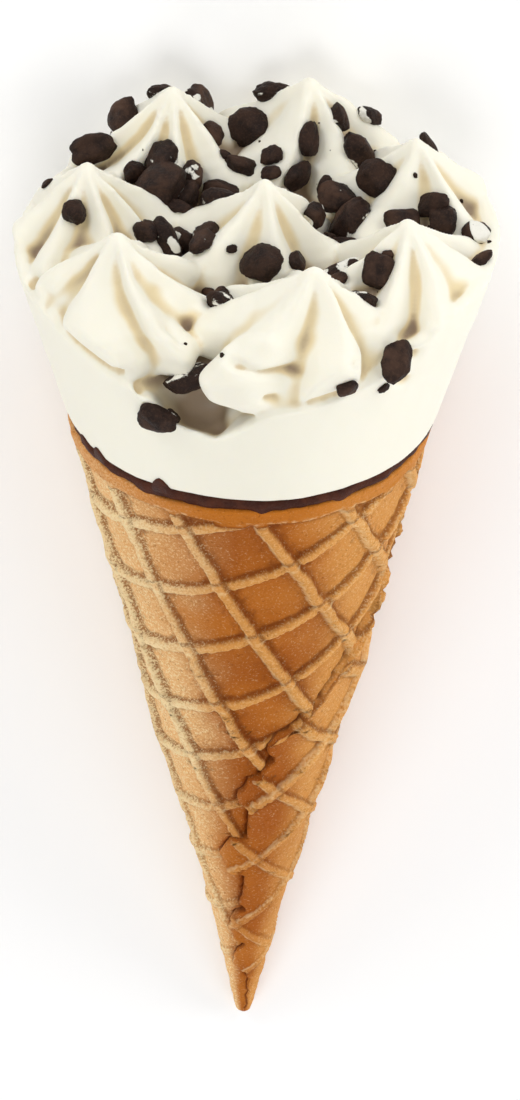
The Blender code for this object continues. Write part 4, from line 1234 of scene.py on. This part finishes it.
def fold_depth(points):
    """How deep the folds and the flank's groove are pressed at each point."""
    depth = np.zeros(len(points))
    for reach, width, places in FOLDS:
        line = [
            np.array(on_ring(far * MM, math.radians(azimuth), RIM_HEIGHT + over * MM))
            for azimuth, far, over in places
        ]
        depth += reach * MM * bell(near_line(points, line), 0.0, width * MM)
    turns = np.arange(EDGE_GROOVE_FROM, EDGE_GROOVE_TO, EDGE_GROOVE_STEP)
    over = (knots(SHOULDER, turns) + EDGE_GROOVE_RISE) * MM
    line = list(on_rings(sleeve_radius(over), np.radians(turns), over + RIM_HEIGHT))
    groove = bell(near_line(points, line), 0.0, EDGE_GROOVE_WIDTH * MM)
    return depth + EDGE_GROOVE_DEPTH * MM * groove


def build_ice_cream(settings):
    """Core and rosettes in one skin, with their folds, on a plug that fills the lining."""
    parts = [build_core()]
    for number, spot in enumerate(ROSETTES):
        parts.append(build_rosette(spot, number))
    item = join(parts, "piped_ice_cream")
    apply_modifier(item, "REMESH", mode="VOXEL", voxel_size=settings.fineness)
    apply_modifier(item, "SMOOTH", factor=0.5, iterations=settings.softness)
    points = read_points(item)
    normals = read_normals(item)
    share = between(CREAM_EVENNESS, smooth_step(*CREAM_TOP, normals[:, 2]))
    points += normals * (unevenness(points, CREAM_WAVES) * share)[:, None] * MM
    points -= normals * fold_depth(points)[:, None]
    write_points(item, points)
    plug_foot = LINING_FOOT + LINING_WALL + GAP
    plug_top = LIP_TOP + PLUG_REACH
    deselect_all()
    bpy.ops.mesh.primitive_cone_add(
        vertices=PLUG_SIDES, radius1=plug_foot * SLOPE - CORE_INSET,
        radius2=plug_top * SLOPE - CORE_INSET, depth=plug_top - plug_foot,
        location=(0.0, 0.0, 0.5 * (plug_top + plug_foot)),
    )
    plug = bpy.context.object
    apply_modifier(item, "BOOLEAN", operation="UNION", object=plug, solver="MANIFOLD")
    bpy.data.objects.remove(plug, do_unlink=True)
    # Depths that the material turns into painted shade in creases, folds and gaps
    write_values(item, "crease", hollows(item, CREASE_PASSES))
    write_values(item, "fold", hollows(item, FOLD_PASSES))
    write_values(item, "gap", hollows(item, GAP_PASSES))
    return item


def ice_cream_material(settings):
    made, wiring, shader = new_material("vanilla_ice_cream", 0.55, 0.3)
    where = wiring.place()
    tone = wiring.noise(where, CREAM_TONE_SIZE)
    # Painted shade: a darker tan laid into the folds of the rosettes
    fold = wiring.plus(wiring.attribute("fold"), wiring.times(tone, FOLD_NOISE))
    cream, tan = (*settings.cream_colour, 1.0), (*settings.fold_shade_colour, 1.0)
    colour = wiring.mix(wiring.ramp(fold, *FOLD_SHADE), cream, tan)
    # Painted shade: tan laid into the deepest creases
    crease = wiring.ramp(wiring.attribute("crease"), *CREASE_SHADE)
    colour = wiring.mix(wiring.times(crease, CREASE_SHARE), colour, (*settings.deep_colour, 1.0))
    # Painted shadow: greyish brown in the gaps between the rosettes
    gap = wiring.ramp(wiring.attribute("gap"), *GAP_SHADE)
    colour = wiring.mix(wiring.times(gap, GAP_SHARE), colour, (*settings.gap_shadow_colour, 1.0))
    wiring.feed(shader.inputs["Base Color"], colour)
    height, _ = grain(wiring, where, *CREAM_GRAIN)
    bump(wiring, shader, height, 0.35, 0.12 * MM)
    shader.inputs["Subsurface Weight"].default_value = settings.softness_of_light
    shader.inputs["Subsurface Radius"].default_value = (1.0, 0.85, 0.55)
    shader.inputs["Subsurface Scale"].default_value = 1.5 * MM
    return made


# Chocolate pieces

def chip_body(size, draw, seed):
    """One rounded piece with dented, flattened sides, from a ball."""
    deselect_all()
    bpy.ops.mesh.primitive_ico_sphere_add(subdivisions=4, radius=0.5)
    item = bpy.context.object
    points = read_points(item)
    reach = (np.abs(points * 2.0) ** CHIP_ROUNDNESS).sum(axis=1)[:, None]
    points /= reach ** (1.0 / CHIP_ROUNDNESS)
    for _ in range(CHIP_FACETS):
        along = draw.normal(size=3)
        along /= np.linalg.norm(along)
        past = np.clip(points @ along - draw.uniform(*CHIP_FACET_REACH), 0.0, None)
        points -= past[:, None] * along * CHIP_FACET_FLATNESS
    for number, (amount, wave) in enumerate(CHIP_DENTS):
        points *= 1.0 + amount * ripple(points, wave, seed + number)[:, None]
    write_points(item, points * np.array(size))
    return item


def build_chips(cream):
    """Chocolate pieces pressed into the ice cream, the fused ones and the fragments."""
    tree = BVHTree.FromObject(cream, bpy.context.evaluated_depsgraph_get())
    draw = np.random.default_rng(CHIP_DRAW)
    pieces = []
    for number, spot in enumerate(CHIPS + FRAGMENTS):
        azimuth_deg, distance, over, length, width, turn_deg, smear = spot
        aim = on_ring(distance * MM, math.radians(azimuth_deg), RIM_HEIGHT + over * MM)
        ground, normal, _, _ = tree.find_nearest(aim)
        size = MM * np.array((CHIP_FULLNESS * length, CHIP_FULLNESS * width, CHIP_FLATNESS * width))
        chip = chip_body(size, draw, CHIP_SEED + len(CHIP_DENTS) * number)
        local = read_points(chip)
        above = local[:, 2] / size[2]
        scuffed = smooth_step(*CHIP_SCUFFS, above * 2.0) * draw.uniform(0.0, CHIP_SCUFF_MOST)
        foot = CHIP_FOOT_SMEAR * (1.0 - smooth_step(*CHIP_FOOT, above))
        patch = ripple(local, CHIP_PATCH_SIZE, CHIP_PATCH_SEED + number)
        patch = smooth_step(*CHIP_PATCH, patch) * smear * CHIP_PATCH_SMEAR
        write_values(chip, "smear", np.maximum(foot, patch))
        write_values(chip, "scuffed", scuffed)
        side = Vector((1.0, 0.0, 0.0))
        side = (side - normal * side.dot(normal)).normalized()
        lying = Matrix((side, normal.cross(side), normal)).transposed()
        lying = lying @ Matrix.Rotation(math.radians(turn_deg), 3, "Z")
        lift = size[2] * (0.5 - CHIP_SUNK)
        chip.data.transform(Matrix.Translation(ground + normal * lift) @ lying.to_4x4())
        pieces.append(chip)
    return join(pieces, "chocolate_pieces")


def build_crumbs(cream, count):
    """Specks of chocolate strewn over the head, most of them among the larger pieces."""
    tree = BVHTree.FromObject(cream, bpy.context.evaluated_depsgraph_get())
    draw = np.random.default_rng(STREW_DRAW)
    pieces = []
    for _ in range(count):
        near = CHIPS[int(draw.integers(len(CHIPS)))]
        azimuth = math.radians(near[0]) + draw.normal() * STREW_TURN
        distance = near[1] * MM + draw.normal() * STREW_SPREAD
        above = on_ring(abs(distance), azimuth, RIM_HEIGHT + STREW_FROM)
        ground, normal, _, _ = tree.ray_cast(above, Vector((0.0, 0.0, -1.0)))
        if ground is None or normal.z < STREW_STEEPEST:
            continue
        deselect_all()
        bpy.ops.mesh.primitive_ico_sphere_add(subdivisions=1, radius=0.5)
        crumb = bpy.context.object
        size = draw.uniform(*STREW_SIZES) ** STREW_POWER * STREW_LARGEST
        points = read_points(crumb) * draw.uniform(*STREW_STRETCH, size=3) * size
        points *= 1.0 + STREW_ROUGHNESS * draw.uniform(-1.0, 1.0, size=(len(points), 1))
        write_points(crumb, points)
        crumb.data.transform(Matrix.Translation(ground))
        pieces.append(crumb)
    return join(pieces, "chocolate_crumbs")


# Settings that a user would change

class WaffleSettings(bpy.types.PropertyGroup):
    columns: IntProperty(name="Columns", description="Faces round the cone", default=372, min=60)
    edge_lift: FloatProperty(
        name="Edge lift", description="How far the sheet's free edge stands off",
        default=0.35 * MM, subtype="DISTANCE", unit="LENGTH",
    )
    edge_dip: FloatProperty(
        name="Edge dip", description="Depth of the crevice beside the free edge",
        default=0.75 * MM, subtype="DISTANCE", unit="LENGTH",
    )
    cell_colour: FloatVectorProperty(
        name="Cells", description="Baked colour between the ridges", subtype="COLOR",
        default=(0.53, 0.165, 0.021), min=0.0, max=1.0,
    )
    toast_colour: FloatVectorProperty(
        name="Toasted cells", description="Colour where it baked longer", subtype="COLOR",
        default=(0.40, 0.105, 0.012), min=0.0, max=1.0,
    )
    # Painted sidelight: paler colour laid on the left side, standing for the light that falls there
    sidelight_colour: FloatVectorProperty(
        name="Paler side", description="Colour of the side that baked less", subtype="COLOR",
        default=(0.98, 0.57, 0.235), min=0.0, max=1.0,
    )
    # Paler colour of the ridges, and painted sidelight laid over the cells on the right side
    ridge_and_sidelight_colour: FloatVectorProperty(
        name="Ridges", description="Paler colour of the ridges", subtype="COLOR",
        default=(0.80, 0.38, 0.10), min=0.0, max=1.0,
    )
    # Pale grain, and painted highlight on the lit sides, the ridges' lit flanks and the rim band's
    # lower edge
    speck_and_highlight_colour: FloatVectorProperty(
        name="Specks", description="Colour of the pale grain", subtype="COLOR",
        default=(1.0, 0.80, 0.46), min=0.0, max=1.0,
    )
    band_colour: FloatVectorProperty(
        name="Rim", description="Colour of the smooth band at the rim", subtype="COLOR",
        default=(0.61, 0.195, 0.018), min=0.0, max=1.0,
    )
    # Dark pits of the grain, and painted shade at the ridges' feet and shaded flanks, under the rim
    # band, along the seam and in the hollows
    deep_colour: FloatVectorProperty(
        name="Creases", description="Brown of pits and creases", subtype="COLOR",
        default=(0.20, 0.045, 0.008), min=0.0, max=1.0,
    )


class ChocolateSettings(bpy.types.PropertyGroup):
    columns: IntProperty(name="Columns", description="Faces round the lip", default=300, min=60)
    crumbs: IntProperty(name="Crumbs", description="Number of specks strewn", default=45, min=0)
    dark_colour: FloatVectorProperty(
        name="Dark", description="Dark of the chocolate", subtype="COLOR",
        default=(0.016, 0.0085, 0.0065), min=0.0, max=1.0,
    )
    brown_colour: FloatVectorProperty(
        name="Brown", description="Lighter brown of the chocolate", subtype="COLOR",
        default=(0.034, 0.018, 0.0125), min=0.0, max=1.0,
    )
    lip_colour: FloatVectorProperty(
        name="Lip", description="Colour of the lining", subtype="COLOR",
        default=(0.044, 0.0100, 0.0050), min=0.0, max=1.0,
    )
    lip_brown_colour: FloatVectorProperty(
        name="Lip, lighter", description="Redder brown of the lining", subtype="COLOR",
        default=(0.085, 0.024, 0.012), min=0.0, max=1.0,
    )
    dust_colour: FloatVectorProperty(
        name="Dust", description="Brown of scuffed, dusty faces", subtype="COLOR",
        default=(0.105, 0.056, 0.036), min=0.0, max=1.0,
    )
    smear_colour: FloatVectorProperty(
        name="Smears", description="Ice cream smeared on the pieces", subtype="COLOR",
        default=(0.84, 0.82, 0.74), min=0.0, max=1.0,
    )


class IceCreamSettings(bpy.types.PropertyGroup):
    fineness: FloatProperty(
        name="Fineness", description="Size of the faces of the head",
        default=0.42 * MM, subtype="DISTANCE", unit="LENGTH",
    )
    softness: IntProperty(name="Softness", description="Smoothing passes", default=3, min=0)
    softness_of_light: FloatProperty(
        name="Light inside", description="Share of light that scatters inside",
        default=0.2, min=0.0, max=1.0, subtype="FACTOR",
    )
    cream_colour: FloatVectorProperty(
        name="Cream", description="Colour of the ice cream", subtype="COLOR",
        default=(0.875, 0.845, 0.725), min=0.0, max=1.0,
    )
    # Painted shade: the darker tan laid into the folds
    fold_shade_colour: FloatVectorProperty(
        name="Folds", description="Warmer colour in the folds", subtype="COLOR",
        default=(0.77, 0.645, 0.40), min=0.0, max=1.0,
    )
    # Painted shade: tan laid into the deepest creases
    deep_colour: FloatVectorProperty(
        name="Creases", description="Tan of the deepest creases", subtype="COLOR",
        default=(0.61, 0.48, 0.30), min=0.0, max=1.0,
    )
    # Painted shadow: greyish brown in the gaps between the rosettes
    gap_shadow_colour: FloatVectorProperty(
        name="Gaps", description="Greyish brown between the rosettes", subtype="COLOR",
        default=(0.25, 0.17, 0.125), min=0.0, max=1.0,
    )


class StageSettings(bpy.types.PropertyGroup):
    floor_colour: FloatVectorProperty(
        name="Floor", description="Colour of the floor", subtype="COLOR",
        default=(0.98, 0.98, 0.98), min=0.0, max=1.0,
    )
    sky: FloatProperty(name="Sky", description="Strength of the even light", default=0.37, min=0.0)
    brightness: FloatProperty(
        name="Brightness", description="Share of the lights' own power", default=1.0, min=0.0,
    )


# Operators

class CONE_OT_waffle(bpy.types.Operator):
    """Add the rolled waffle with its ridges and its ragged free edge"""
    bl_idname = "cone.waffle"
    bl_label = "Waffle"

    def execute(self, context):
        settings = context.scene.cone_waffle
        finish(build_waffle(settings), waffle_material(settings), "waffle_cone")
        return {"FINISHED"}


class CONE_OT_lining(bpy.types.Operator):
    """Add the chocolate lining with the lip over the rim"""
    bl_idname = "cone.lining"
    bl_label = "Chocolate lining"

    def execute(self, context):
        settings = context.scene.cone_chocolate
        item = build_lining(settings)
        colours = (settings.lip_colour, settings.lip_brown_colour)
        material = chocolate_material("dark_chocolate", settings, False, colours)
        finish(item, material, "chocolate_lining")
        return {"FINISHED"}


class CONE_OT_ice_cream(bpy.types.Operator):
    """Add the moulded head with its piped rosettes, chocolate pieces and crumbs"""
    bl_idname = "cone.ice_cream"
    bl_label = "Ice cream"

    def execute(self, context):
        settings = context.scene.cone_ice_cream
        chocolate = context.scene.cone_chocolate
        cream = build_ice_cream(settings)
        chips = build_chips(cream)
        crumbs = build_crumbs(cream, chocolate.crumbs)
        finish(cream, ice_cream_material(settings), "ice_cream")
        dark = chocolate_material("chocolate_piece", chocolate, True)
        finish(chips, dark)
        finish(crumbs, chocolate_material("chocolate_crumb", chocolate, False))
        return {"FINISHED"}


class CONE_OT_stage(bpy.types.Operator):
    """Add the pale floor, the soft lights and the camera"""
    bl_idname = "cone.stage"
    bl_label = "Stage"

    def execute(self, context):
        settings = context.scene.cone_stage
        deselect_all()
        bpy.ops.mesh.primitive_plane_add(size=FLOOR_SIZE)
        floor = bpy.context.object
        floor.name = "floor"
        made, _, shader = new_material("pale_floor", 0.9, 0.1)
        shader.inputs["Base Color"].default_value = (*settings.floor_colour, 1.0)
        floor.data.materials.append(made)
        world = bpy.data.worlds.new("studio")
        context.scene.world = world
        world.use_nodes = True
        back = world.node_tree.nodes["Background"]
        back.inputs[0].default_value = (1.0, 1.0, 1.0, 1.0)
        back.inputs[1].default_value = settings.sky
        for name, place, power in LIGHTS:
            add_light(name, place, power * settings.brightness)
        add_camera()
        context.scene.view_settings.view_transform = "Standard"
        return {"FINISHED"}


def add_light(name, place, power):
    light = bpy.data.lights.new(name, "AREA")
    light.shape = "DISK"
    light.size = LIGHT_SIZE
    light.energy = power
    item = bpy.data.objects.new(name, light)
    bpy.context.scene.collection.objects.link(item)
    item.location = place
    item.rotation_euler = (Vector(LIGHT_AIM) - Vector(place)).to_track_quat("-Z", "Y").to_euler()


def add_camera():
    back = Vector((0.0, -math.cos(CAMERA_RISE), math.sin(CAMERA_RISE)))
    right = Vector((1.0, 0.0, 0.0))
    upward = back.cross(right)
    side = right * math.cos(CAMERA_ROLL) + upward * math.sin(CAMERA_ROLL)
    above = upward * math.cos(CAMERA_ROLL) - right * math.sin(CAMERA_ROLL)
    place = Vector(CAMERA_TARGET) + back * CAMERA_DISTANCE
    turned = Matrix((side, above, back)).transposed().to_4x4()
    camera = bpy.data.cameras.new("camera")
    camera.sensor_width = SENSOR
    camera.lens = CAMERA_FOCAL_PIXELS * SENSOR / IMAGE_HEIGHT
    camera.clip_start = NEAREST_SEEN
    camera.clip_end = FARTHEST_SEEN
    item = bpy.data.objects.new("camera", camera)
    bpy.context.scene.collection.objects.link(item)
    item.matrix_world = LAID @ Matrix.Translation(place) @ turned
    bpy.context.scene.camera = item


class CONE_PT_sidebar(bpy.types.Panel):
    """Lists the pieces and their settings"""
    bl_label = "Filled waffle cone"
    bl_space_type = "VIEW_3D"
    bl_region_type = "UI"
    bl_category = "Cone"

    def draw(self, context):
        for operator, holder in STEPS:
            self.layout.operator(operator)
            settings = getattr(context.scene, holder)
            for name in settings.bl_rna.properties.keys():
                if name not in {"rna_type", "name"}:
                    self.layout.prop(settings, name)


SETTINGS = (
    ("cone_waffle", WaffleSettings),
    ("cone_chocolate", ChocolateSettings),
    ("cone_ice_cream", IceCreamSettings),
    ("cone_stage", StageSettings),
)
STEPS = (
    ("cone.waffle", "cone_waffle"),
    ("cone.lining", "cone_chocolate"),
    ("cone.ice_cream", "cone_ice_cream"),
    ("cone.stage", "cone_stage"),
)
CLASSES = (
    WaffleSettings, ChocolateSettings, IceCreamSettings, StageSettings, CONE_OT_waffle,
    CONE_OT_lining, CONE_OT_ice_cream, CONE_OT_stage, CONE_PT_sidebar,
)


def register():
    for kind in CLASSES:
        bpy.utils.register_class(kind)
    for holder, kind in SETTINGS:
        setattr(bpy.types.Scene, holder, PointerProperty(type=kind))


def unregister():
    for holder, _ in SETTINGS:
        delattr(bpy.types.Scene, holder)
    for kind in reversed(CLASSES):
        bpy.utils.unregister_class(kind)


def main():
    register()
    bpy.ops.cone.waffle()
    bpy.ops.cone.lining()
    bpy.ops.cone.ice_cream()
    bpy.ops.cone.stage()


if __name__ == "__main__":
    main()
